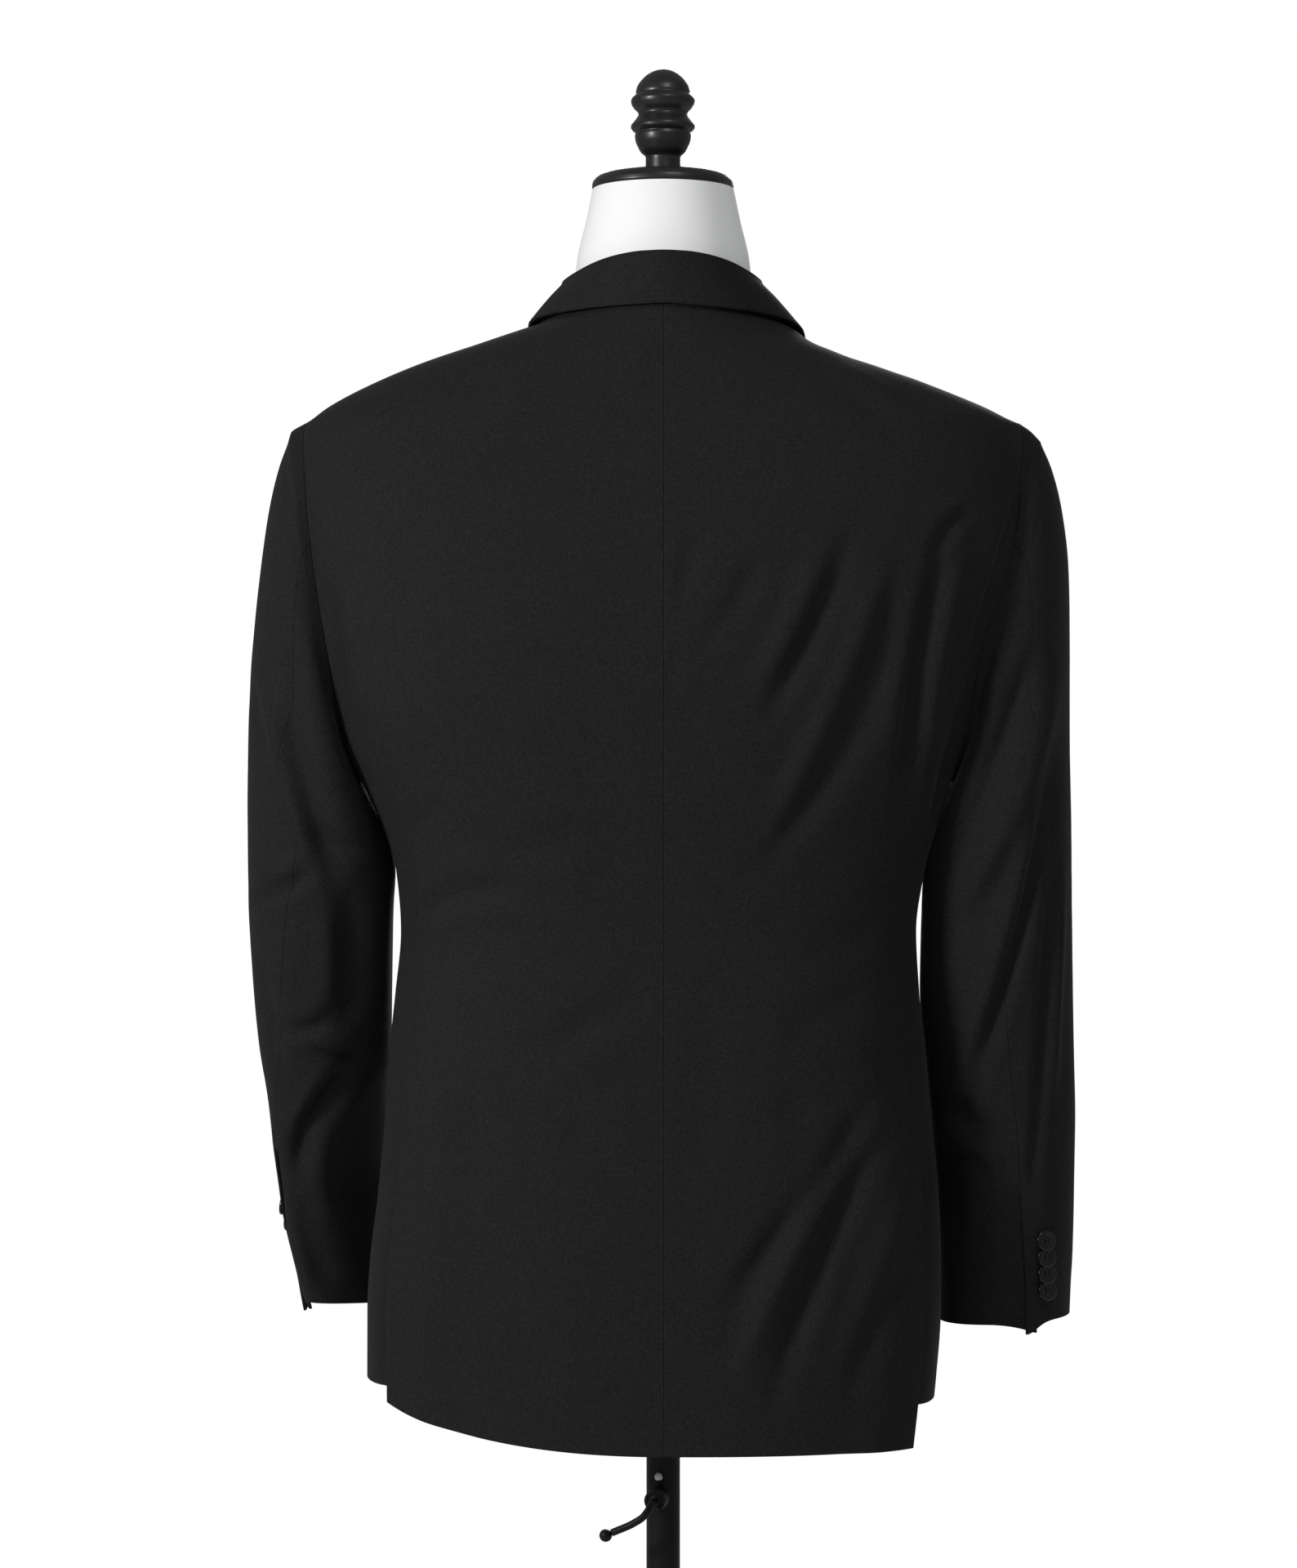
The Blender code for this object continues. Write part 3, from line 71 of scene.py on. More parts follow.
# Cloth and how fine its pieces are
CLOTH = 1.8
SEAM_SPARE = -0.05
EDGE_ROUND = 0.4
SEAM_DRAW = EDGE_ROUND * CLOTH / 2 + SEAM_SPARE
DRAW_REACH = 3.0
RIM_STEPS = 3
ROW_SPREAD = 0.7
COLUMN_SPREAD = 0.85
LAPEL_SPREAD = 0.5
PATCH_SPREAD = 0.6
COLLAR_SPREAD = 0.4
FINE_POINTS = 161
BACK_SIZE = (230, 84)
SIDE_SIZE = (150, 34)
FRONT_SIZE = (230, 84)
LAPEL_SIZE = (110, 26)
PATCH_SIZE = (26, 60)
TOP_SLEEVE_SIZE = (210, 66)
UNDER_SLEEVE_SIZE = (210, 50)
COLLAR_SIZE = (190, 46)

# Cloth pieces: flat width and length, how each is held, how thick it is, and its pick stitches:
# their name, the edge that they follow, and the shares of it at which they start and end
CLOTH_PIECES = {
    "back": ((280, 800), "draped", CLOTH, ("vent_stitches", "last", 0.01, 0.235)),
    "side": ((160, 470), "draped", CLOTH, None),
    "front": ((320, 760), "draped", CLOTH, ("front_edge_stitches", "last", 0.03, 0.42)),
    "lapel": ((90, 340), "folded", 1.5, ("lapel_stitches", "last", 0.04, 0.98)),
    "flap": ((105, 52), "draped", CLOTH, ("flap_stitches", "bottom", 0.04, 0.96)),
    "sleeve_top": ((215, 640), "hung", CLOTH, None),
    "sleeve_under": ((185, 640), "hung", CLOTH, None),
    "breast_welt": ((88, 26), "draped", CLOTH, ("welt_stitches", "top", 0.05, 0.95)),
    "collar": ((90, 560), "folded", 1.9, ("collar_stitches", "last", 0.02, 0.98)),
}

# Panel rows: how many lie below the armhole's side seam, up the armhole and over the shoulder
HEM_ROWS = 13
ARM_ROWS = 9
SHOULDER_ROWS = 5
ALL_ROWS = HEM_ROWS + ARM_ROWS + SHOULDER_ROWS
ARM_STEPS = 24
BACK_SEAM_STEP = 5
FRONT_SEAM_STEP = 15

# Armhole, a rounded loop seen from the side
ARMHOLE_HEIGHT = 1324.0
ARMHOLE_HALF_HEIGHT = 121.0
ARMHOLE_HALF_DEPTH = 53.0
ARMHOLE_POWER = 2.2
TIP_HEIGHT = ARMHOLE_HEIGHT + ARMHOLE_HALF_HEIGHT

# Neck points, hems and vents
NAPE_HEIGHT = 1526.0
NECK_POINT_HEIGHT = 1512.0
BACK_HEM = 763.0
BACK_HEM_RISE = {LEFT: 28.0, RIGHT: -2.0}
SIDE_HEM = {LEFT: 800.0, RIGHT: 787.0}
FRONT_HEM = 784.0
HEM_CURVE = 1.6
VENT_ROW = 6
VENT_UNDERLAP = 24.0
VENT_LIFT = 4.6
VENT_LIFT_REACH = (28.0, 62.0)
VENT_HOLLOW = 8.0
VENT_HOLLOW_REACH = (18.0, 62.0)
VENT_HOLLOW_HEIGHTS = (880.0, 1010.0)

# Front edge, roll line and overlap
FRONT_OVERLAP = 18.0
BREAK_HEIGHT = 1112.0
ROLL_TOP = 70.0
CUTAWAY_HEIGHT = 985.0
CUTAWAY_REACH = 118.0
CUTAWAY_ROUND = 0.9
OVERLAP_LIFT = 3.0
OVERLAP_RAMP = (20.0, 46.0)
BUTTON_HEIGHTS = (1098.0, 990.0)

BODY_COLUMNS = ("height", "left", "right", "back", "front", "back_power", "front_power")
BODY_SECTIONS = (
    (755, 200, 180, 118, 118, 2.5, 2.4),
    (800, 200.5, 185, 117, 120, 2.5, 2.4),
    (845, 200.5, 188, 116, 121, 2.5, 2.4),
    (880, 198.5, 188, 115, 121, 2.5, 2.4),
    (920, 193.5, 186.5, 113, 120, 2.5, 2.4),
    (970, 189, 182, 109, 118, 2.5, 2.4),
    (1020, 185.5, 177.5, 104, 116, 2.5, 2.4),
    (1060, 181.5, 173.5, 100, 115, 2.5, 2.4),
    (1100, 178, 171.5, 98, 117, 2.5, 2.4),
    (1140, 181, 177, 101, 121, 2.5, 2.4),
    (1165, 188, 184, 104, 125, 2.5, 2.35),
    (1185, 196.5, 190, 107, 127, 2.55, 2.3),
    (1205, 206, 196, 109, 128, 2.6, 2.3),
    (1235, 220.5, 207.5, 112, 129, 2.7, 2.25),
    (1265, 228, 214.5, 114, 128, 2.8, 2.2),
    (1295, 235, 222.5, 114.5, 127, 2.8, 2.2),
    (1320, 240, 233, 114, 125, 2.8, 2.2),
    (1350, 245, 242, 111.5, 121, 2.8, 2.2),
    (1385, 248, 247, 106, 113, 2.8, 2.2),
    (1420, 247, 246, 99, 102, 2.7, 2.2),
    (1443, 243, 242, 93, 92, 2.5, 2.2),
    (1447, 238, 234, 92, 90, 2.5, 2.2),
    (1454, 229, 221, 90, 86, 2.4, 2.1),
    (1465, 209, 194, 87, 79, 2.3, 2.1),
    (1481, 173, 150.5, 83, 68, 2.2, 2),
    (1498, 125, 102, 78.5, 54, 2.1, 2),
    (1507, 99, 90, 76, 46, 2, 2),
    (1512, 83, 81, 74.5, 41, 2, 2),
    (1520, 75, 75, 72.5, 36, 2, 2),
    (1530, 71, 71, 70.5, 32, 2, 2),
)

# How far behind and in front of the side the panel seams run
SEAM_COLUMNS = ("height", "back", "front")
SIDE_SEAMS = (
    (755, 67, 58),
    (900, 63, 56),
    (1000, 59, 53),
    (1100, 52, 48),
    (1180, 43, 41),
    (1236, 38.7, 38.7),
)

# Sleeves: where each ring's outer and inner points lie, how far forward its middle is, and its depth
SLEEVE_COLUMNS = ("outer_x", "outer_z", "inner_x", "inner_z", "middle_y", "half_depth", "keep", "twist",
                  "lean")
SLEEVE_SECTIONS = {
    LEFT: (
        (250, 1439, 205.3, 1201, 0, 55.5, 0.90, 0, 0),
        (259, 1417, 203.4, 1196, -1, 58.5, 0.65, 0, 0),
        (266.5, 1388, 199.9, 1189, -2, 61, 0.42, 0, 0),
        (272.5, 1350, 195.8, 1181, -3, 62.5, 0.25, 0, 0),
        (277, 1312, 191.4, 1173, -5, 63.5, 0.12, 0, 0),
        (280.5, 1270, 187.6, 1164, -7, 63.5, 0.05, -6, 0),
        (282.5, 1225, 184.9, 1153, -10, 62.5, 0, -11, 0),
        (283.5, 1175, 182.9, 1140, -14, 60.5, 0, 3, 0),
        (283.5, 1120, 184.6, 1115, -19, 57.5, 0, -5, 0),
        (281, 1065, 186.5, 1063, -30, 54, 0, -14, 4),
        (277.5, 1020, 188.4, 1016, -44, 51.5, 0, -23, 10),
        (273, 985, 191.5, 985, -62, 50.5, 0, -36, 20),
        (269, 945, 192.5, 945, -79, 50, 0, -52, 32),
        (264.5, 905, 186, 905, -92, 49.5, 0, -68, 42),
        (258, 870, 180, 870, -101, 49, 0, -79, 48),
        (251, 840, 174, 834, -106, 48.5, 0, -82, 50),
    ),
    RIGHT: (
        (252.5, 1434, 196.3, 1201, 0, 55.5, 0.90, 0, 0),
        (261.5, 1415, 194.2, 1196, -1, 58.5, 0.65, 0, 0),
        (269, 1388, 191.6, 1189, -2, 61, 0.42, 0, 0),
        (274, 1350, 187.8, 1180, -2, 62.5, 0.25, 0, 0),
        (275.5, 1312, 185.2, 1171, -3, 63.5, 0.12, 0, 0),
        (276, 1268, 182.8, 1161, -4, 63.5, 0.05, -6, 0),
        (276.5, 1222, 179.6, 1149, -5, 62, 0, -12, 0),
        (277.8, 1170, 177.2, 1134, -7, 60, 0, -3, 0),
        (278.5, 1115, 176.4, 1111, -10, 57.5, 0, 8, 0),
        (279.5, 1065, 175.4, 1062, -14, 55, 0, 14, 0),
        (281, 1015, 179.8, 1013, -20, 53, 0, 13, 0),
        (282.5, 965, 184.2, 965, -27, 51.5, 0, 10, 0),
        (282.5, 920, 188.4, 920, -33, 50.5, 0, 8, 0),
        (282, 880, 190.2, 880, -38, 49.5, 0, 5, 0),
        (281, 856, 190.4, 854, -41, 49, 0, 3, 0),
        (280.5, 836, 190.2, 831, -43, 48.5, 0, 2, 0),
    ),
}
SLEEVE_POWER = 2.1
CUFF_DROP = 8.0
CUFF_DROP_WIDTH = 14.0
CUFF_DROP_START = 1.75
CUFF_VENT_START = 4.2
CUFF_UNDERLAP = 0.75
CUFF_UNDERLAP_REACH = (2.0, 22.0)
CUFF_UNDERLAP_DEPTH = 2.3
HEAD_ROLL = 1.1
HEAD_ROLL_AT = 9.0
HEAD_ROLL_WIDTH = 7.0
HEAD_PUCKER = 0.22
HEAD_PUCKER_FADE = 9.0

# Creases as lines seen from behind or from the front: start, middle and end in x and height,
# how wide the crease is, and how deep. A ridge has a negative depth.
BACK_LEFT_CREASES = (
    (222, 1330, 216, 1280, 207, 1232, 7, 3.4),
    (179, 1172, 160, 1178, 142, 1190, 5, 1.4),
    (173, 1106, 136, 1127, 90, 1128, 8, 2.2),
    (168, 1092, 136, 1112, 98, 1114, 9, -0.9),
    (112, 1151, 86, 1157, 52, 1167, 10, 1.0),
    (80, 1027, 46, 1042, 10, 1062, 12, 1.5),
    (84, 1008, 50, 1020, 18, 1042, 13, -0.9),
    (154, 1038, 126, 1013, 98, 982, 10, -0.9),
    (66, 976, 50, 970, 30, 963, 11, 1.1),
    (210, 1407, 162, 1435, 112, 1467, 15, 1.5),
    (130, 1458, 114, 1467, 98, 1477, 6, 0.9),
    (62, 1498, 84, 1473, 110, 1442, 10, -0.9),
    (205, 1385, 150, 1402, 95, 1425, 20, -0.9),
    (60, 1250, 40, 1180, 30, 1110, 22, 0.5),
    (120, 900, 100, 850, 92, 790, 26, 0.9),
)
BACK_RIGHT_CREASES = (
    (-125, 1370, -96, 1298, -62, 1236, 8, 2.9),
    (-104, 1354, -85, 1308, -60, 1262, 9, -1.8),
    (-146, 1350, -117, 1273, -62, 1150, 8, -2.3),
    (-66, 1348, -41, 1312, -10, 1272, 9, 1.8),
    (-50, 1332, -30, 1300, -8, 1260, 9, -1.1),
    (-23, 1365, -15, 1342, -8, 1318, 8, 0.9),
    (-150, 1330, -126, 1234, -50, 1135, 10, 2.4),
    (-206, 1376, -190, 1372, -174, 1344, 5, 2.4),
    (-186, 1362, -166, 1273, -160, 1180, 7, 4.2),
    (-199, 1356, -179, 1273, -171, 1196, 7, -1.9),
    (-238, 1394, -220, 1337, -200, 1270, 5, 2.4),
    (-206, 1277, -190, 1216, -178, 1154, 6, 2.4),
    (-107, 1477, -132, 1465, -157, 1450, 9, -1.6),
    (-112, 1462, -135, 1450, -160, 1436, 10, 1.1),
    (-93, 1095, -119, 1097, -145, 1102, 14, 1.4),
    (-78, 1038, -105, 1048, -134, 1060, 14, 1.4),
    (-142, 1003, -97, 933, -36, 856, 9, 2.8),
    (-110, 960, -74, 878, -48, 812, 9, -2.6),
    (-146, 975, -106, 897, -70, 792, 9, 4.0),
    (-163, 946, -135, 872, -110, 796, 11, -2.1),
    (-156, 882, -136, 844, -120, 802, 10, 1.6),
    (-74, 992, -84, 988, -97, 980, 12, 1.0),
    (-160, 1040, -150, 980, -140, 920, 14, 1.1),
    (-40, 1090, -30, 1000, -26, 930, 20, 0.6),
)
SLEEVE_LEFT_CREASES = (
    (275, 1285, 251, 1206, 226, 1120, 7, -2.2),
    (226, 1118, 224, 1085, 226, 1046, 8, -1.5),
    (252, 1262, 236, 1190, 214, 1130, 10, 2.8),
    (243, 1170, 222, 1160, 200, 1152, 9, 2.0),
    (276, 1270, 271, 1244, 265, 1222, 6, 1.8),
    (281, 1130, 258, 1129, 234, 1142, 5, 3.4),
    (281, 1142, 259, 1142, 240, 1152, 6, -1.6),
    (212, 1135, 210, 1084, 214, 1030, 12, 3.6),
    (266, 1042, 246, 1033, 222, 1046, 5, 2.6),
    (262, 1054, 246, 1046, 226, 1056, 6, -1.2),
    (273, 1094, 267, 1046, 258, 992, 7, 1.5),
    (240, 1022, 222, 1016, 204, 1020, 4.5, 2.6),
    (236, 1031, 220, 1027, 206, 1031, 5, -1.4),
    (199, 1016, 236, 976, 253, 918, 9, 4.6),
    (226, 1010, 240, 990, 256, 962, 7, -1.6),
    (253, 920, 243, 880, 230, 842, 10, 2.4),
    (232, 985, 238, 940, 228, 896, 9, -2.2),
    (248, 1318, 245, 1270, 238, 1215, 8, 1.0),
)
SLEEVE_RIGHT_CREASES = (
    (-221, 1351, -227, 1335, -221, 1316, 4, -1.4),
    (-229, 1352, -233, 1330, -228, 1306, 5, 1.4),
    (-250, 1300, -222, 1222, -187, 1130, 10, 4.4),
    (-213, 1290, -202, 1232, -184, 1160, 5, -2.0),
    (-262, 1280, -236, 1186, -192, 1112, 9, -2.8),
    (-260, 1208, -236, 1095, -200, 975, 6, 4.0),
    (-248, 1196, -226, 1095, -196, 996, 9, -2.2),
    (-188, 962, -208, 956, -228, 942, 6, -2.4),
    (-187, 984, -206, 976, -222, 962, 8, 1.8),
    (-261, 1170, -254, 1018, -249, 921, 5, 2.2),
    (-268, 1150, -264, 1057, -261, 979, 4.5, -2.0),
    (-193, 954, -194, 919, -192, 879, 9, 2.4),
    (-230, 940, -241, 905, -247, 862, 9, 1.4),
)
FRONT_LEFT_CREASES = (
    (212, 1330, 205, 1285, 190, 1236, 8, 2.4),
    (20, 1102, 70, 1120, 130, 1128, 9, 1.4),
    (22, 1090, 70, 1098, 125, 1095, 9, -0.9),
    (24, 1080, 66, 1062, 112, 1035, 10, 1.1),
    (150, 1060, 145, 1000, 140, 945, 14, 0.9),
    (120, 905, 112, 860, 108, 800, 20, 1.2),
    (175, 1400, 150, 1350, 138, 1290, 14, 0.8),
    (160, 1240, 120, 1215, 70, 1190, 16, 0.7),
)
FRONT_RIGHT_CREASES = (
    (-208, 1335, -200, 1285, -186, 1232, 8, 2.2),
    (-25, 1104, -75, 1124, -135, 1130, 9, 1.3),
    (-24, 1092, -70, 1098, -128, 1092, 9, -0.9),
    (-26, 1078, -72, 1056, -118, 1026, 10, 1.2),
    (-150, 1050, -143, 1000, -140, 940, 14, 1.0),
    (-118, 905, -108, 855, -104, 800, 20, 1.3),
    (-170, 1400, -150, 1352, -140, 1300, 14, 0.8),
)
SLEEVE_LEFT_FRONT_CREASES = (
    (226, 1290, 240, 1235, 262, 1180, 9, 1.8),
    (214, 1165, 240, 1150, 268, 1158, 6, 2.2),
    (208, 1128, 236, 1118, 262, 1128, 7, 2.6),
    (210, 1092, 232, 1086, 256, 1098, 7, 2.2),
    (212, 1110, 235, 1102, 258, 1112, 7, -1.2),
    (214, 1052, 236, 1046, 258, 1060, 8, 1.4),
)
SLEEVE_RIGHT_FRONT_CREASES = (
    (-218, 1295, -236, 1240, -258, 1186, 9, 1.6),
    (-208, 1160, -236, 1146, -262, 1152, 6, 1.9),
    (-204, 1122, -232, 1112, -260, 1120, 7, 2.2),
    (-206, 1076, -232, 1068, -258, 1078, 7, 1.7),
    (-204, 1099, -230, 1092, -256, 1100, 7, -1.0),
)
BACK_CREASES = {LEFT: BACK_LEFT_CREASES, RIGHT: BACK_RIGHT_CREASES}
FRONT_CREASES = {LEFT: FRONT_LEFT_CREASES, RIGHT: FRONT_RIGHT_CREASES}
SLEEVE_CREASES = {LEFT: (SLEEVE_LEFT_CREASES, SLEEVE_LEFT_FRONT_CREASES),
                  RIGHT: (SLEEVE_RIGHT_CREASES, SLEEVE_RIGHT_FRONT_CREASES)}
CREASE_STEPS = 9
CREASE_RUN_OUT = 0.6
CREASE_FADE = (-0.07, 0.3)
BODY_GAIN = 2.6
SLEEVE_GAIN = 2.4
SLEEVE_FRONT_GAIN = 1.4
BODY_WAVE = 0.35
LOW_WAVE = 0.2
SWELL = 0.42
SWELL_WIDTH = 2.3
# How far a sleeve's surface has to turn to the back or to the front before its creases count
TURNED_BACK = (0.0, 0.4)
TURNED_FORWARD = (0.1, 0.5)
# How far from an edge creases, waves and the softened shoulder fade out: from where and to where
CENTRE_FADE = (0.0, 14.0)
SEAM_FADE = (-6.0, 9.0)
EDGE_FADE = (6.0, 30.0)
SOFT_FADE = (0.0, 30.0)
SLEEVE_SEAM_FADE = (0.0, 9.0)
HEAD_FADE = (4.0, 26.0)
CUFF_FADE = (0.0, 20.0)

# Collar behind the neck, from the neck point to centre back. Its left fall ends higher.
COLLAR_BACK_COLUMNS = ("turn", "rise", "lean", "left_edge", "right_edge", "edge_out")
COLLAR_BACK = (
    (0, 27, 15, 1509.5, 1505.5, 4.6),
    (30, 28, 11.5, 1511, 1509.5, 4.8),
    (60, 27.5, 4, 1514.5, 1514, 4.5),
    (90, 26.5, -1, 1517, 1517, 3.9),
)
# Collar in front, from the gorge up to the top of the roll line
COLLAR_FRONT_COLUMNS = ("seam_height", "rise", "upright", "left_x", "right_x", "left_edge", "right_edge",
                        "edge_out")
COLLAR_FRONT = (
    (1448, 6.5, 0, 101, 102, 1460, 1460, 3.6),
    (1472, 8.5, 0.2, 99.5, 101.5, 1475.5, 1474, 3.8),
    (1492, 13.5, 0.5, 96, 98.5, 1491, 1488, 4.2),
    (1512.5, 24, 0.85, 92, 95, 1504, 1500, 4.8),
)
COLLAR_BACK_STATIONS = 9
COLLAR_FRONT_STATIONS = 5
COLLAR_SEAM_RAISE = 0.7
COLLAR_SEAM_IN = 2.8
COLLAR_FOLD_RADIUS = 2.9
FALL_POINTS = ((0.38, 1.2), (0.72, 1.0))

# Lapel, from its break up to the gorge
LAPEL_COLUMNS = ("height", "outer_x")
LAPEL_SECTIONS = (
    (1122, -10),
    (1150, 18),
    (1195, 47),
    (1250, 71),
    (1310, 91),
    (1370, 107),
    (1428, 122),
)
LAPEL_START = {LEFT: 1124.0, RIGHT: 1212.0}
LAPEL_TIP_HEIGHT = 1430.0
LAPEL_GORGE_HEIGHT = 1443.5
LAPEL_OUT = 3.0
LAPEL_BELLY = 1.1
ROLL_COLUMNS = 6
ROLL_RADIUS = LAPEL_OUT / 2 + 0.4
NOTCH_SHARE = 0.26

# Pocket flaps and breast welt, by how far from the centre they reach
FLAP_X = (58.0, 160.0)
FLAP_HEIGHTS = (918.0, 968.0)
FLAP_CORNER = 0.32
FLAP_CORNER_ROUND = 0.97
WELT_X = (96.0, 178.0)
WELT_HEIGHTS = (1262.0, 1286.0)
WELT_RISE = 9.0
PATCH_OUT = 2.9
PATCH_BELLY = 0.25

# Pick stitches
STITCH_INSET = 2.6
STITCH_PITCH = 3.6
STITCH_LENGTH = 1.5
STITCH_WIDTH = 0.42
STITCH_SINK = 0.06
STITCH_THICK = (0.35, 1.0, 1.0, 0.35)
STITCH_ARCH = (-0.6, 0.5, 0.5, -0.6)

# Buttons. Places, reaches and hole radii are shares of the button's radius, and depths and edges are
# shares of half its thickness. A hole's slope is given in hole radii.
HOLE_SHARE = 0.21
HOLE_RADIUS = 0.105
HOLE_DEPTH = 0.9
HOLE_SLOPE = (0.75, 1.2)
BUTTON_RIM = 0.84
BUTTON_DISH = (0.52, 0.74)
BUTTON_DISH_DEPTH = 0.34
BUTTON_TOP_EDGE = 0.12
BUTTON_BACK_EDGE = 0.35
BUTTON_STEPS = 72
THREAD_RADIUS = 0.24
FRONT_HOLE = (-1.5, 9.0)
LAPEL_HOLE = (88.0, 10.0, 1408.0)
LAPEL_HOLE_OUT = 0.75
BUTTONHOLE_OUT = 0.15
BUTTONHOLE_EDGE = 0.55
BUTTONHOLE_HALF = 0.75
BUTTONHOLE_STEPS = 60
BUTTONHOLE_POWER = 2 / 0.35
FRONT_BUTTON_RADIUS = 10.0
FRONT_BUTTON_THICKNESS = 3.6
FRONT_BUTTON_GAP = 0.9
CUFF_BUTTON_RADIUS = 7.0
CUFF_BUTTON_THICKNESS = 2.2
CUFF_BUTTON_COUNT = 4
CUFF_BUTTON_SPACING = 11.5
CUFF_BUTTON_TILT = 15.0
CUFF_BUTTON_ANGLE = {LEFT: 47.0, RIGHT: 57.0}
CUFF_BUTTON_LOWEST = {LEFT: 872.0, RIGHT: 857.0}
CUFF_BUTTON_CLEAR = 0.45
CUFF_BUTTON_REACH = 12.0
CUFF_BUTTON_START = 4.0
CUFF_BUTTON_STEPS = 60

# Dress form
FORM_COLUMNS = ("height", "inset", "arm_end")
FORM_INSETS = (
    (828, 12.5, 300),
    (1000, 11.5, 300),
    (1100, 9.5, 300),
    (1180, 11, 192),
    (1240, 9.5, 188),
    (1320, 7.5, 197),
    (1400, 6.5, 214),
    (1445, 4.8, 220),
    (1500, 3.6, 221),
)
FORM_BOTTOM = 832.0
FORM_LOW_TOP = 1400.0
FORM_LOW_ROWS = 14
FORM_SHOULDER_HEIGHTS = (1416.0, 1428.0, 1438.0, 1446.0, 1455.0, 1466.0, 1478.0, 1490.0)
FORM_DROP = 2.4
FORM_DROP_HEIGHTS = (1380.0, 1440.0)
FORM_STEPS = 112
FORM_RINGS = 150
NECK_COLUMNS = ("height", "half_width", "back", "front")
NECK_SECTIONS = (
    (1508, 74, 65, 41),
    (1520, 64.5, 62, 43),
    (1536, 60.5, 60, 46),
    (1556, 58.5, 57.5, 49),
    (1582, 52.5, 52.5, 49),
    (1603.7, 48, 48, 47),
)

# Turned profiles as radius and height, with corners where a point comes twice
CAP_PROFILE = ((0.0, 1614.6), (36.0, 1614.0), (42.5, 1612.9), (46.4, 1610.6), (48.2, 1607.6),
               (48.4, 1605.2), (47.6, 1604.2), (46.6, 1604.0), (0.0, 1604.0))
FINIAL_PROFILE = ((0.0, 1686.0), (6.4, 1684.3), (11.2, 1681.6), (15.5, 1677.3), (17.8, 1673.6),
                  (18.6, 1670.2), (18.5, 1668.8), (21.2, 1665.9), (21.9, 1664.2), (21.6, 1662.0),
                  (19.8, 1659.0), (17.2, 1656.2), (16.9, 1654.9), (17.4, 1653.4), (20.2, 1649.6),
                  (21.9, 1647.2), (22.0, 1645.8), (20.4, 1643.6), (18.9, 1642.4), (19.3, 1640.4),
                  (18.9, 1637.0), (17.3, 1633.0), (15.4, 1629.4), (12.6, 1626.8), (11.9, 1625.4),
                  (12.1, 1614.9), (0.0, 1614.9))
TURNED_SHARP = math.radians(38)
FORM_SHARP = math.radians(50)
TUBE_RADIUS = 11.4
TUBE_BORE = 9.4
TUBE_TOP = 801.0
TUBE_FOOT = 14.6
POLE_RADIUS = 9.0
POLE_BOTTOM = 470.0
POLE_TOP = 831.7
FLANGE_RADIUS = 32.0
FLANGE_THICKNESS = 5.0
TUBE_PROFILE = ((TUBE_BORE, TUBE_TOP), (TUBE_BORE + 0.3, TUBE_TOP), (TUBE_RADIUS - 0.5, TUBE_TOP),
                (TUBE_RADIUS, TUBE_TOP - 0.5), (TUBE_RADIUS, TUBE_FOOT), (TUBE_BORE, TUBE_FOOT))
FLANGE_UNDER = POLE_TOP - FLANGE_THICKNESS
POLE_PROFILE = ((0.0, POLE_TOP), (FLANGE_RADIUS - 0.8, POLE_TOP), (FLANGE_RADIUS, POLE_TOP - 0.8),
                (FLANGE_RADIUS, FLANGE_UNDER + 0.8), (FLANGE_RADIUS - 0.8, FLANGE_UNDER),
                (POLE_RADIUS + 1.5, FLANGE_UNDER), (POLE_RADIUS, FLANGE_UNDER - 1.5),
                (POLE_RADIUS, POLE_BOTTOM + 0.8), (POLE_RADIUS - 0.8, POLE_BOTTOM), (0.0, POLE_BOTTOM))
SOCKET_BORE = 11.7
BASE_PROFILE = ((0.0, 14.3), (24.0, 14.2), (100.0, 12.0), (158.0, 9.2), (168.0, 8.0), (173.0, 6.0),
                (175.0, 3.6), (174.4, 1.0), (172.5, 0.0), (0.0, 0.0))
SOCKET_PROFILE = ((SOCKET_BORE, 46.0), (15.2, 46.0), (16.4, 45.6), (17.0, 44.4), (17.0, 23.0),
                  (18.6, 18.8), (22.4, 16.4), (24.0, 14.6), (SOCKET_BORE, 14.6))
CLAMP_TURN = -14.0
BOSS_HEIGHT = 717.0
BOSS_RADIUS = 7.4
BOSS_START = 11.6
BOSS_LENGTH = 13.0
BOSS_PROFILE = ((0.0, BOSS_LENGTH), (2.2, BOSS_LENGTH), (3.4, BOSS_LENGTH - 0.5), (4.6, BOSS_LENGTH - 0.5),
                (6.6, BOSS_LENGTH), (BOSS_RADIUS, BOSS_LENGTH - 0.8), (BOSS_RADIUS, 0.4),
                (BOSS_RADIUS - 0.4, 0.0), (0.0, 0.0))
SCREW_HEIGHT = 731.5
SCREW_RADIUS = 2.8
SCREW_START = 11.7
SCREW_THICKNESS = 2.4
SCREW_ROUND = 0.7
LEVER_RADIUS = 2.5
LEVER_BALL_RADIUS = 4.3
LEVER_BALL_GAP = 0.3
LEVER_STEPS = 40
LEVER_SIDES = 16
# Points of the lever: across, out from the tube, and height
LEVER_ROUTE = (
    (0.0, 25.0, 717.0),
    (0.0, 31.0, 716.6),
    (1.2, 36.5, 713.4),
    (4.0, 39.5, 709.2),
    (11.0, 41.0, 704.4),
    (25.0, 42.5, 698.0),
)


def table(columns, rows):
    """Turns rows of numbers into one array for each named column."""
    return dict(zip(columns, np.array(rows, float).T))


BODY = table(BODY_COLUMNS, BODY_SECTIONS)
SEAMS = table(SEAM_COLUMNS, SIDE_SEAMS)
LAPEL = table(LAPEL_COLUMNS, LAPEL_SECTIONS)
FORM = table(FORM_COLUMNS, FORM_INSETS)
NECK = table(NECK_COLUMNS, NECK_SECTIONS)


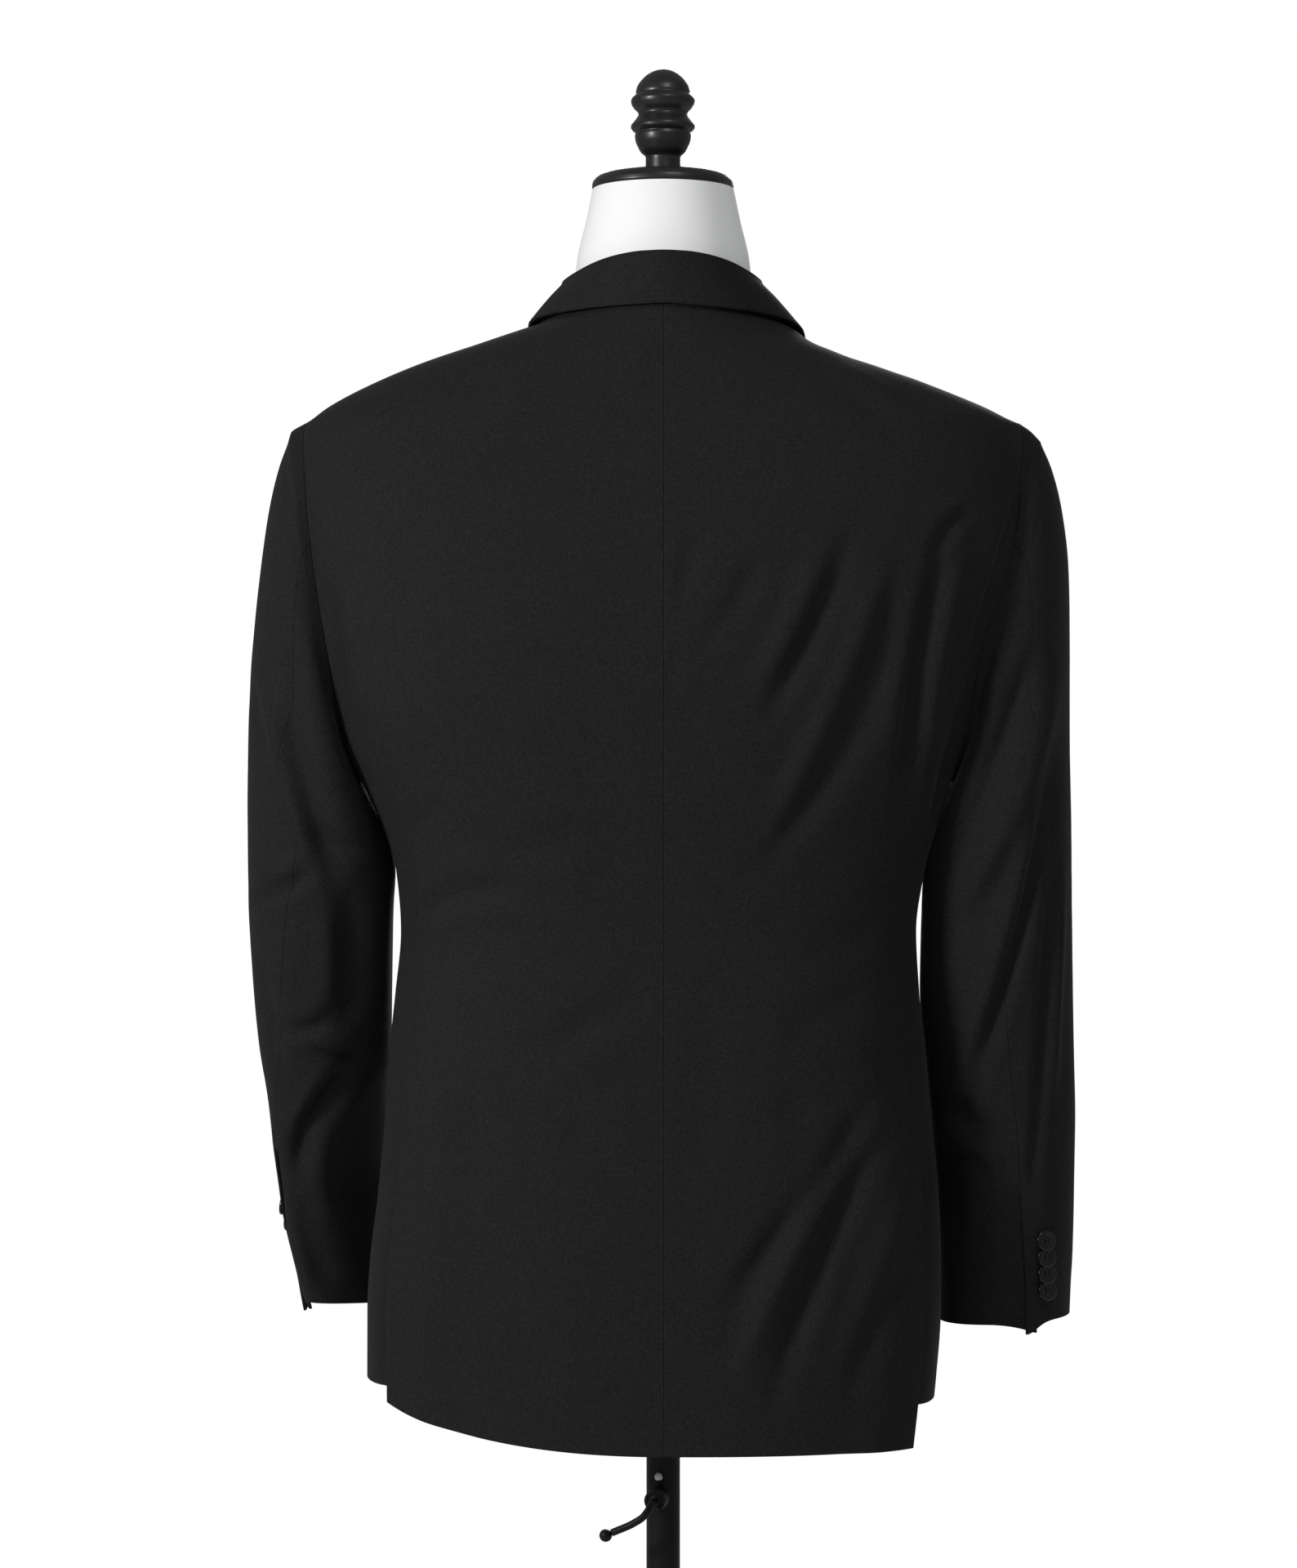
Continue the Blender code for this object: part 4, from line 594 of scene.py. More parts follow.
def smooth(x, knots, values):
    """Cubic curve through the knots with limited slopes: each slope is the harmonic mean of the
    steps beside it, and 0 where they turn. The values may have further axes."""
    x = np.clip(np.asarray(x, float), knots[0], knots[-1])
    values = np.asarray(values, float)
    extra = (1,) * (values.ndim - 1)
    steps = np.diff(knots)
    slope = np.diff(values, axis=0) / steps.reshape(-1, *extra)
    rising = slope[:-1] * slope[1:] > 0
    total = np.where(rising, slope[:-1] + slope[1:], 1.0)
    tangent = np.zeros_like(values)
    tangent[1:-1] = np.where(rising, 2.0 * slope[:-1] * slope[1:] / total, 0.0)
    tangent[0] = slope[0]
    tangent[-1] = slope[-1]
    i = np.clip(np.searchsorted(knots, x, side="right") - 1, 0, len(steps) - 1)
    step = steps[i].reshape(x.shape + extra)
    t = ((x - np.asarray(knots)[i]) / steps[i]).reshape(x.shape + extra)
    start = (1 + 2 * t) * (1 - t) ** 2 * values[i] + t * (1 - t) ** 2 * step * tangent[i]
    end = t * t * (3 - 2 * t) * values[i + 1] + t * t * (t - 1) * step * tangent[i + 1]
    return start + end


def sized(sections, knots, at):
    """Every column of a table at places between its knots."""
    return {name: smooth(at, knots, values) for name, values in sections.items()}


def ease(x, low, high):
    """0 below low, 1 above high and t squared times (3 - 2t) between them."""
    t = np.clip((np.asarray(x, float) - low) / (high - low), 0.0, 1.0)
    return t * t * (3 - 2 * t)


def unit(vectors):
    """Vectors divided by their length along the last axis."""
    return vectors / np.maximum(np.linalg.norm(vectors, axis=-1, keepdims=True), 1e-9)


def spread(count, closeness):
    """Places from 0 to 1, closer together at both ends: t - c sin(2 pi t) / (2 pi)."""
    t = np.linspace(0.0, 1.0, count)
    return t - closeness * np.sin(2 * math.pi * t) / (2 * math.pi)


def rounded(value, power):
    """The sign of a sine or cosine times its size to the power 2/p, for a rounded section."""
    return np.sign(value) * np.abs(value) ** (2 / power)


def lengths(points, axis):
    """Distance of each point from the first one of its row or column, measured along it."""
    step = np.linalg.norm(np.diff(points, axis=axis), axis=-1)
    start = np.zeros_like(step.take([0], axis=axis))
    return np.concatenate([start, np.cumsum(step, axis=axis)], axis=axis)


def at_places(wanted, known, points):
    """Points interpolated one axis at a time, at wanted places between known ones."""
    return np.stack([np.interp(wanted, known, points[:, k]) for k in range(3)], axis=-1)


def body_sizes(side, behind, height):
    """Half-width, depth and power of the coat's section at each height, behind or in front."""
    width = smooth(height, BODY["height"], BODY["left" if side == LEFT else "right"])
    face = "back" if behind else "front"
    depth = smooth(height, BODY["height"], BODY[face])
    power = smooth(height, BODY["height"], BODY[face + "_power"])
    return width, depth, power


def turn_at_depth(side, behind, height, y):
    """Angle round the section, 0 at the side, at which it is y from the middle."""
    width, depth, power = body_sizes(side, behind, height)
    return np.arcsin(np.clip(np.abs(y) / depth, 0.0, 1.0) ** (power / 2))


def turn_at_width(side, behind, height, x):
    """Angle round the section at which it is x towards its own side."""
    width, depth, power = body_sizes(side, behind, height)
    share = np.clip(x / width, -1.0, 1.0)
    return np.arccos(np.sign(share) * np.abs(share) ** (power / 2))


def body_point(side, behind, turn, height):
    """x = W cos^(2/p), y = D sin^(2/p): a rounded section of half-width W and depth D."""
    width, depth, power = body_sizes(side, behind, height)
    x = side * width * rounded(np.cos(turn), power)
    y = depth * np.abs(np.sin(turn)) ** (2 / power)
    return np.stack(np.broadcast_arrays(x, y if behind else -y, height), axis=-1)


def surface_at_depth(side, heights, depths):
    """The coat's surface at heights and at depths, which are positive behind the middle."""
    back = body_point(side, True, turn_at_depth(side, True, heights, depths), heights)
    front = body_point(side, False, turn_at_depth(side, False, heights, depths), heights)
    return np.where((depths >= 0)[..., None], back, front)


def evenly(fine, share):
    """Each row of a grid, taken anew at shares of its length. Every row's shares are moved up by
    twice its number, so that one interpolation serves them all."""
    length = lengths(fine, 1)
    row = 2.0 * np.arange(len(fine))[:, None]
    known = (length / length[:, -1:] + row).ravel()
    wanted = (share + row).ravel()
    return at_places(wanted, known, fine.reshape(-1, 3)).reshape(len(fine), -1, 3)


def armhole_depth(step):
    """Armhole's half-depth times sin^(2/p) of the step round it from the shoulder tip."""
    angle = 2 * math.pi * np.asarray(step, float) / ARM_STEPS
    return ARMHOLE_HALF_DEPTH * np.abs(np.sin(angle)) ** (2 / ARMHOLE_POWER)


def armhole_height(step):
    """Armhole's middle height and half-height times cos^(2/p) of the step round it."""
    across = np.cos(2 * math.pi * np.asarray(step, float) / ARM_STEPS)
    return ARMHOLE_HEIGHT + ARMHOLE_HALF_HEIGHT * rounded(across, ARMHOLE_POWER)


def armhole_loop(side, step):
    """The armhole on the coat's surface at steps from the shoulder tip round the back."""
    step = np.asarray(step, float) % ARM_STEPS
    behind = np.where(step <= ARM_STEPS / 2, 1.0, -1.0)
    return surface_at_depth(side, armhole_height(step), behind * armhole_depth(step))


def seam_depth(height, face):
    """How far from the middle a panel seam is at each height below the armhole."""
    return smooth(height, SEAMS["height"], SEAMS[face])


def outward_normals(grid, inside=None):
    """Unit normals of a grid, the cross product of its steps along rows and columns, turned to
    look away from points inside it or else from the pole's axis."""
    normals = unit(np.cross(np.gradient(grid, axis=1), np.gradient(grid, axis=0)))
    inside = grid * [0.0, 0.0, 1.0] if inside is None else inside
    return normals * np.sign(np.sum(normals * (grid - inside)))


def reach_along(grid):
    """For each point its distance from the first and from the last column, along its row."""
    first = lengths(grid, 1)
    return first, first[:, -1:] - first


def crease_push(grid, rows, facing, gain):
    """Sum of the creases: each is a bell curve of the distance from a bent line in x and height,
    faded at both ends. A wider and lower bell of the other sign lies under it, so that the cloth
    swells beside a trough. It counts only where the surface faces the side that shows it."""
    push = np.zeros(grid.shape[:2])
    flat = grid[..., [0, 2]]
    t = np.linspace(0.0, 1.0, CREASE_STEPS)[:, None]
    last = CREASE_STEPS - 2
    for *points, width, depth in rows:
        start, middle, end = np.reshape(points, (3, 2)).astype(float)
        bend = 2 * middle - (start + end) / 2
        line = (1 - t) ** 2 * start + 2 * t * (1 - t) * bend + t ** 2 * end
        best = np.full(push.shape, np.inf)
        along = np.zeros(push.shape)
        for i, way in enumerate(np.diff(line, axis=0)):
            share = ((flat - line[i]) @ way) / (way @ way)
            share = np.clip(share, -CREASE_RUN_OUT * (i == 0), 1.0 + CREASE_RUN_OUT * (i == last))
            away = np.linalg.norm(flat - line[i] - share[..., None] * way, axis=-1)
            nearer = away < best
            best = np.where(nearer, away, best)
            along = np.where(nearer, (i + share) / (CREASE_STEPS - 1), along)
        across = best / width
        shape = np.exp(-(across ** 2)) - SWELL * np.exp(-((across / SWELL_WIDTH) ** 2))
        push -= depth * ease(along, *CREASE_FADE) * ease(1 - along, *CREASE_FADE) * shape
    return gain * push * facing


def slow_waves(grid, size, seed):
    """Low unevenness of hanging cloth: three slow sine waves that run different ways."""
    x, y, z = np.moveaxis(grid, -1, 0)
    wave = np.sin(x / 31 + z / 83 + seed)
    wave = wave + np.sin(z / 47 - x / 64 + y / 40 + 2.1 * seed)
    wave = wave + 0.6 * np.sin(z / 19 + x / 27 - y / 33 + 0.7 * seed)
    return size * wave / 2.6


def drawn_in(grid, first=SEAM_DRAW, last=SEAM_DRAW, bottom=SEAM_DRAW, top=0.0):
    """Moves the grid's edges inwards by given distances, and the next points less and less."""
    moved = grid.copy()
    near, far = reach_along(grid)
    down = lengths(grid, 0)
    for reach, amount, way in (
        (near, first, grid[:, 1:2] - grid[:, :1]),
        (far, last, grid[:, -2:-1] - grid[:, -1:]),
        (down, bottom, grid[1:2] - grid[:1]),
        (down[-1:] - down, top, grid[-2:-1] - grid[-1:]),
    ):
        moved += amount * np.exp(-(reach / DRAW_REACH) ** 2)[..., None] * unit(way)
    return moved


def make_mesh(name, points, faces, uv=None):
    """Puts whole arrays of points in millimetres, faces and cloth places into a smooth mesh."""
    mesh = bpy.data.meshes.new(name)
    mesh.from_pydata((points * MM).tolist(), [], faces.tolist() if hasattr(faces, "tolist") else faces)
    if uv is not None:
        layer = mesh.uv_layers.new(name="cloth")
        corner = np.empty(len(mesh.loops), dtype=np.int32)
        mesh.loops.foreach_get("vertex_index", corner)
        layer.data.foreach_set("uv", (uv[corner] * MM).astype(np.float32).ravel())
    mesh.shade_smooth()
    return mesh


def ring_faces(shape):
    """Quads between rings of points that run along open tubes, and a flat face at both ends. The
    last axis of the shape goes round a ring and the one before it along the tube."""
    index = np.arange(math.prod(shape)).reshape(shape)
    after = np.roll(index, -1, axis=-1)
    quads = np.stack([index[..., :-1, :], after[..., :-1, :], after[..., 1:, :], index[..., 1:, :]], axis=-1)
    ends = [index[..., 0, ::-1].reshape(-1, shape[-1]), index[..., -1, :].reshape(-1, shape[-1])]
    return quads.reshape(-1, 4).tolist() + np.concatenate(ends).tolist()


def spun_faces(index, fans):
    """Quads between rings that run down a turned piece, and fans to the two points after them."""
    after = np.roll(index, -1, axis=1)
    faces = np.stack([index[:-1], index[1:], after[1:], after[:-1]], axis=-1).reshape(-1, 4).tolist()
    if fans:
        end = np.full(index.shape[1], index.size)
        faces += np.stack([end, index[0], after[0]], axis=-1).tolist()
        faces += np.stack([end + 1, after[-1], index[-1]], axis=-1).tolist()
    return faces


def wall_mesh(name, grid, normals, thickness):
    """A cloth wall with a rounded edge. Its outer face is the grid, its inner face is the grid
    moved in by the thickness, and rows of points run round the edge on half ellipses."""
    rows, columns = grid.shape[:2]
    count = rows * columns
    index = np.arange(count).reshape(rows, columns)
    rim = np.concatenate([index[0, :-1], index[:-1, -1], index[-1, :0:-1], index[:0:-1, 0]])
    along = np.zeros_like(grid)
    along[0] += unit(grid[0] - grid[1])
    along[-1] += unit(grid[-1] - grid[-2])
    along[:, 0] += unit(grid[:, 0] - grid[:, 1])
    along[:, -1] += unit(grid[:, -1] - grid[:, -2])
    outward = unit(along.reshape(-1, 3)[rim])
    up = normals.reshape(-1, 3)
    outer = grid.reshape(-1, 3)
    middle = outer[rim] - up[rim] * thickness / 2
    angles = np.linspace(math.pi / 2, -math.pi / 2, RIM_STEPS + 2)[1:-1]
    rims = [middle + thickness / 2 * (EDGE_ROUND * math.cos(a) * outward + math.sin(a) * up[rim])
            for a in angles]
    points = np.concatenate([outer, outer - up * thickness, *rims])
    quads = np.stack([index[:-1, :-1], index[:-1, 1:], index[1:, 1:], index[1:, :-1]], axis=-1)
    quads = quads.reshape(-1, 4)
    steps = np.arange(len(rim))
    loops = [rim, *(2 * count + k * len(rim) + steps for k in range(RIM_STEPS)), rim + count]
    bands = [np.stack([upper, lower, np.roll(lower, -1), np.roll(upper, -1)], axis=-1)
             for upper, lower in zip(loops[:-1], loops[1:])]
    faces = np.concatenate([quads, quads[:, ::-1] + count, *bands])
    a, b, d = (points[quads[:, k]] for k in (0, 1, 3))
    if np.sum(np.cross(b - a, d - a) * up[quads[:, 0]]) <= 0:
        faces = faces[:, ::-1]
    first, _ = reach_along(grid)
    flat = np.stack([first - first[:, -1:] / 2, lengths(grid, 0)], axis=-1).reshape(-1, 2)
    return make_mesh(name, points, faces, np.concatenate([flat, flat] + [flat[rim]] * RIM_STEPS))


def place_piece(mesh, material, body, slot, *nodes):
    """Links a mesh as a piece that rides on a body, takes a finish and replaces its solids."""
    piece = bpy.data.objects.new(mesh.name, mesh)
    mesh.materials.append(material)
    bpy.context.scene.collection.objects.link(piece)
    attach(piece, body)
    if nodes:
        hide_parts(*nodes)
    return piece


def stitches(name, line, normals):
    """Pick stitches along a line: small flattened rods at an even pitch, half sunk in the cloth.
    Every rod has six corners at each of four places, computed as one array."""
    length = lengths(line, 0)
    starts = np.arange(STITCH_PITCH, length[-1] - STITCH_PITCH, STITCH_PITCH)
    places = starts[:, None] + np.linspace(-STITCH_LENGTH / 2, STITCH_LENGTH / 2, len(STITCH_THICK))
    points = at_places(places, length, line)
    up = unit(at_places(places, length, normals))
    aside = np.cross(unit(points[:, -1:] - points[:, :1]), up)
    thick = np.array(STITCH_THICK)[:, None] * STITCH_WIDTH / 2
    arch = np.array(STITCH_ARCH)[:, None] * STITCH_WIDTH / 2
    centre = (points + up * (arch - STITCH_SINK))[:, :, None]
    turns = (np.arange(6) * math.pi / 3)[:, None]
    rings = centre + np.cos(turns) * (aside * thick)[:, :, None] + np.sin(turns) * (up * thick)[:, :, None]
    mesh = make_mesh(name, rings.reshape(-1, 3), ring_faces(rings.shape[:-1]))
    place_piece(mesh, thread_finish(), "figure", "wool")


def inset_line(grid, normals, edge, start, end):
    """Points of a grid's surface at the stitch inset from one of its edges, with their normals."""
    both = np.stack([grid, normals])
    if edge in ("bottom", "top"):
        both = np.swapaxes(both, 1, 2)
    if edge in ("last", "top"):
        both = both[:, :, ::-1]
    last = both.shape[1] - 1
    rows, ups = both[:, int(start * last):int(end * last) + 1]
    reach = lengths(rows, 1)
    column = np.argmax(reach >= STITCH_INSET, axis=1)
    picks = np.arange(len(rows))
    below = reach[picks, column - 1]
    share = ((STITCH_INSET - below) / (reach[picks, column] - below))[:, None]
    return rows[picks, column - 1] * (1 - share) + rows[picks, column] * share, ups[picks, column]


def cloth_piece(kind, side, grid, inside, rests_on):
    """A wool piece in its node's place, with its wall, its finish, its cut and its pick stitches."""
    size, held, thickness, stitched = CLOTH_PIECES[kind]
    ending = "_" + SIDE_NAMES[side] if side else ""
    normals = outward_normals(grid, inside)
    mesh = wall_mesh("wool_" + kind + ending, grid, normals, thickness)
    piece = place_piece(mesh, wool_finish(), "figure", "wool", kind + ending)
    if stitched:
        name, edge, start, end = stitched
        stitches(name + ending, *inset_line(grid, normals, edge, start, end))


def softened(grid, height, reach, rows_wide):
    """Blurs a panel along its columns near a height, with bell weights over a few rows, and fades
    the blur out towards the panel's seams."""
    offsets = np.arange(-2 * rows_wide, 2 * rows_wide + 1)
    weights = np.exp(-((offsets / rows_wide) ** 2))
    weights = weights / weights.sum()
    padded = np.pad(grid, ((2 * rows_wide, 2 * rows_wide), (0, 0), (0, 0)), mode="edge")
    blurred = sum(weight * padded[i:i + len(grid)] for i, weight in enumerate(weights))
    near, far = reach_along(grid)
    strength = np.exp(-(((grid[..., 2] - height) / reach) ** 2))
    strength = strength * ease(near, *SOFT_FADE) * ease(far, *SOFT_FADE)
    return grid + (blurred - grid) * strength[..., None]


def panel_rows(count, high):
    """Row places up to a panel row, closer at the hem and at the shoulder."""
    return high * spread(count, ROW_SPREAD)


def panel_part(rows, low, arm, high):
    """Takes one value below the armhole, one beside it and one above it."""
    return np.where(rows <= HEM_ROWS, low, np.where(rows <= HEM_ROWS + ARM_ROWS, arm, high))


def row_heights(rows, hem, neck):
    """Height of each row: evenly up from the hem, then round the armhole, then to the neck."""
    rows = rows[:, None]
    low = hem + (armhole_height(ARM_ROWS) - hem) * rows / HEM_ROWS
    arm = armhole_height(np.clip(HEM_ROWS + ARM_ROWS - rows, 0.0, ARM_ROWS))
    high = TIP_HEIGHT + (neck - TIP_HEIGHT) * (rows - HEM_ROWS - ARM_ROWS) / SHOULDER_ROWS
    return panel_part(rows, low, arm, high)


def edge_turn(rows, side, behind, heights):
    """Angle of a panel's side edge: the side seam, then the armhole, then the shoulder seam."""
    low = turn_at_depth(side, behind, heights, seam_depth(heights, "back" if behind else "front"))
    step = np.clip(HEM_ROWS + ARM_ROWS - rows, 0.0, ARM_ROWS)
    return panel_part(rows, low, turn_at_depth(side, behind, heights, armhole_depth(step)), 0.0)


def back_grid(side):
    """Back from centre back to the side seam, the armhole and the shoulder seam."""
    rows = panel_rows(BACK_SIZE[0], ALL_ROWS)
    share = np.linspace(0.0, 1.0, FINE_POINTS)
    hem = BACK_HEM + BACK_HEM_RISE[side] * share ** HEM_CURVE
    neck = NAPE_HEIGHT + (NECK_POINT_HEIGHT - NAPE_HEIGHT) * ease(share, 0.0, 1.0)
    heights = row_heights(rows, hem, neck)
    edge = edge_turn(rows, side, True, heights[:, -1])
    turns = math.pi / 2 + (edge[:, None] - math.pi / 2) * share
    grid = evenly(body_point(side, True, turns, heights), spread(BACK_SIZE[1], COLUMN_SPREAD))
    grid = softened(grid, *SHOULDER_SOFT)
    near, far = reach_along(grid)
    lift = VENT_LIFT * (1 - ease(far, *VENT_LIFT_REACH)) * (1 - ease(rows, VENT_ROW, VENT_ROW + 1))[:, None]
    push = crease_push(grid, BACK_CREASES[side], 1.0, BODY_GAIN) + slow_waves(grid, BODY_WAVE, 1.0 + side)
    push = push * ease(near, *CENTRE_FADE) * ease(far, *SEAM_FADE)
    grid = grid + outward_normals(grid) * (lift + push)[..., None]
    return drawn_in(grid)


def side_grid(side):
    """Side panel under the arm: depths run from the back's seam to the front's, and its top row
    turns into the lowest part of the armhole."""
    rows = panel_rows(SIDE_SIZE[0], HEM_ROWS)[:, None]
    share = spread(SIDE_SIZE[1], COLUMN_SPREAD)
    step = ARM_ROWS + (ARM_STEPS - 2 * ARM_ROWS) * share
    top = armhole_height(step)
    top_depth = armhole_depth(step) * np.sign(ARM_STEPS / 2 - step)
    height = SIDE_HEM[side] + (top[0] - SIDE_HEM[side]) * rows / HEM_ROWS
    heights = height + (top - top[0]) * rows / HEM_ROWS
    underlap = VENT_UNDERLAP * (1 - ease(rows, VENT_ROW - 2, VENT_ROW - 1))
    behind = seam_depth(height, "back") + underlap
    depths = behind + (-seam_depth(height, "front") - behind) * share
    depths = depths + (top_depth - depths) * ease(rows, HEM_ROWS - 1.5, HEM_ROWS)
    grid = surface_at_depth(side, heights, depths)
    near, far = reach_along(grid)
    push = slow_waves(grid, LOW_WAVE, 3.0 + side) * ease(near, *CENTRE_FADE) * ease(far, *CENTRE_FADE)
    hollow = VENT_HOLLOW * (1 - ease(near, *VENT_HOLLOW_REACH))
    hollow = hollow * (1 - ease(grid[..., 2], *VENT_HOLLOW_HEIGHTS))
    grid = grid + outward_normals(grid) * (push - hollow)[..., None]
    return drawn_in(grid, top=SEAM_DRAW)


def roll_x(height):
    """Distance of the roll line from the centre towards its own side."""
    slope = (ROLL_TOP + FRONT_OVERLAP) / (NECK_POINT_HEIGHT - BREAK_HEIGHT)
    return ROLL_TOP - (NECK_POINT_HEIGHT - height) * slope


def front_edge_x(height):
    """Front edge: a round cutaway, a straight run past the centre, and the roll line."""
    fall = np.clip((CUTAWAY_HEIGHT - height) / (CUTAWAY_HEIGHT - FRONT_HEM), 0.0, 1.0)
    low = -FRONT_OVERLAP + CUTAWAY_REACH * (1 - np.sqrt(1 - CUTAWAY_ROUND * fall ** 2))
    return np.where(height >= BREAK_HEIGHT, roll_x(height), low)


def overlap_lift(x):
    """The left front lies over the right one, so it stands out near the centre."""
    return OVERLAP_LIFT * (1 - ease(x, *OVERLAP_RAMP))


def front_grid(side):
    """Front from the side seam, the armhole and the shoulder to the front edge."""
    rows = panel_rows(FRONT_SIZE[0], ALL_ROWS)
    share = np.linspace(0.0, 1.0, FINE_POINTS)
    hem = SIDE_HEM[side] + (FRONT_HEM - SIDE_HEM[side]) * share
    heights = row_heights(rows, hem, NECK_POINT_HEIGHT)
    edge = edge_turn(rows, side, False, heights[:, 0])
    end = turn_at_width(side, False, heights[:, -1], front_edge_x(heights[:, -1]))
    turns = edge[:, None] + (end - edge)[:, None] * share
    grid = evenly(body_point(side, False, turns, heights), spread(FRONT_SIZE[1], COLUMN_SPREAD))
    grid = softened(grid, *SHOULDER_SOFT)
    near, far = reach_along(grid)
    push = crease_push(grid, FRONT_CREASES[side], 1.0, BODY_GAIN) + slow_waves(grid, BODY_WAVE, 5.0 + side)
    push = push * ease(near, *SEAM_FADE) * ease(far, *EDGE_FADE)
    grid = grid + outward_normals(grid) * push[..., None]
    if side == LEFT:
        grid[..., 1] -= overlap_lift(grid[..., 0])
    return drawn_in(grid)


def front_surface(side, x, height):
    """Points on a front's outer surface at a distance x towards its own side and a height."""
    points = body_point(side, False, turn_at_width(side, False, height, x), height)
    if side == LEFT:
        points[..., 1] -= overlap_lift(points[..., 0])
    return points


def lapel_grid(side):
    """Lapel between the roll line and its outer edge. Its first columns go round the roll line on
    a half circle from under the front's edge, and the others lie on the front."""
    turned = ROLL_COLUMNS
    up = spread(LAPEL_SIZE[0], LAPEL_SPREAD)[:, None]
    share = np.concatenate([np.zeros(turned), spread(LAPEL_SIZE[1] - turned, PATCH_SPREAD)])
    start = LAPEL_START[side]
    middle = start + (LAPEL_TIP_HEIGHT - start) * up
    rise = (LAPEL_GORGE_HEIGHT - LAPEL_TIP_HEIGHT) * ease(up, 0.5, 1.0)
    heights = middle + rise * np.clip((1 - share) / (1 - NOTCH_SHARE), 0.0, 1.0)
    inner = roll_x(heights[:, :1])
    x = inner + (smooth(middle, LAPEL["height"], LAPEL["outer_x"]) - inner) * share
    grid = front_surface(side, x, heights)
    normals = outward_normals(grid)
    belly = LAPEL_BELLY * np.sin(math.pi * share) * (1 - 0.5 * up)
    grid = grid + normals * (LAPEL_OUT + belly)[..., None]
    turn = np.linspace(math.pi, 0.0, turned + 1)[:-1, None]
    inward = unit(grid[:, turned - 1:turned] - grid[:, turned + 2:turned + 3])
    grid[:, :turned] += ROLL_RADIUS * (inward * np.sin(turn) - normals[:, :turned] * (1 - np.cos(turn)))
    return drawn_in(grid, 0.0, 0.2, 0.0, 0.5)


def patch_grid(side, reach, heights, rise, corner=0.0):
    """A flap or welt: its points are the front's, moved out. The front lower corner is rounded by
    raising the lower rows near it on a circle."""
    share = spread(PATCH_SIZE[1], PATCH_SPREAD)
    up = spread(PATCH_SIZE[0], PATCH_SPREAD)[:, None]
    radius = corner * (heights[1] - heights[0])
    x = reach[0] + (reach[1] - reach[0]) * share
    inside = np.clip((radius - (x - reach[0])) / max(radius, 1e-6), 0.0, 1.0)
    bottom = heights[0] + radius * (1 - np.sqrt(1 - FLAP_CORNER_ROUND * inside ** 2))
    height = bottom + (heights[1] - bottom) * up + rise * share
    grid = front_surface(side, np.broadcast_to(x, height.shape), height)
    return grid + outward_normals(grid) * (PATCH_OUT + PATCH_BELLY * np.sin(math.pi * up))[..., None]


def sleeve_ring(angle, side, size, power):
    """Centre + half (outer - inner) cos^(2/p) + half-depth sin^(2/p), from the outer side round.
    The lean is added to the sine's angle, which lays an emptier sleeve on the slant."""
    outer = np.stack([side * size["outer_x"], size["middle_y"], size["outer_z"]], axis=-1)
    inner = np.stack([side * size["inner_x"], size["middle_y"], size["inner_z"]], axis=-1)
    middle = (outer + inner) / 2
    across = rounded(np.cos(angle), power)
    points = middle[:, None] + across[..., None] * (outer - middle)[:, None]
    leant = angle + np.radians(size["lean"])[:, None]
    points[..., 1] += rounded(np.sin(leant), power) * size["half_depth"][:, None]
    return points, middle


def sleeve_surface(side, place, step):
    """The sleeve at places from -1 at the armhole to the last section at the cuff, and at steps
    round it. Each ring is a rounded loop, twisted by its section, plus what is kept of the
    armhole's own shape."""
    sections = table(SLEEVE_COLUMNS, SLEEVE_SECTIONS[side])
    knots = np.arange(len(sections["keep"]), dtype=float)
    size = sized(sections, knots, np.clip(place, 0.0, knots[-1]))
    angle = 2 * math.pi * step[None] / ARM_STEPS
    loop = armhole_loop(side, step)
    tip, low = armhole_loop(side, np.array([0.0, ARM_STEPS / 2]))
    armhole = (abs(tip[0]), tip[2], abs(low[0]), low[2], 0.0, ARMHOLE_HALF_DEPTH, 0.0, 0.0, 0.0)
    base, _ = sleeve_ring(angle, side, table(SLEEVE_COLUMNS, [armhole]), ARMHOLE_POWER)
    twisted = angle + np.radians(size["twist"])[:, None]
    rings, middle = sleeve_ring(twisted, side, size, SLEEVE_POWER)
    rings = rings + size["keep"][:, None, None] * (loop - base[0])
    head = np.clip(place + 1.0, 0.0, 1.0)[:, None, None]
    return np.where(head < 1.0, loop + (rings - loop) * np.sin(head * math.pi / 2), rings), middle


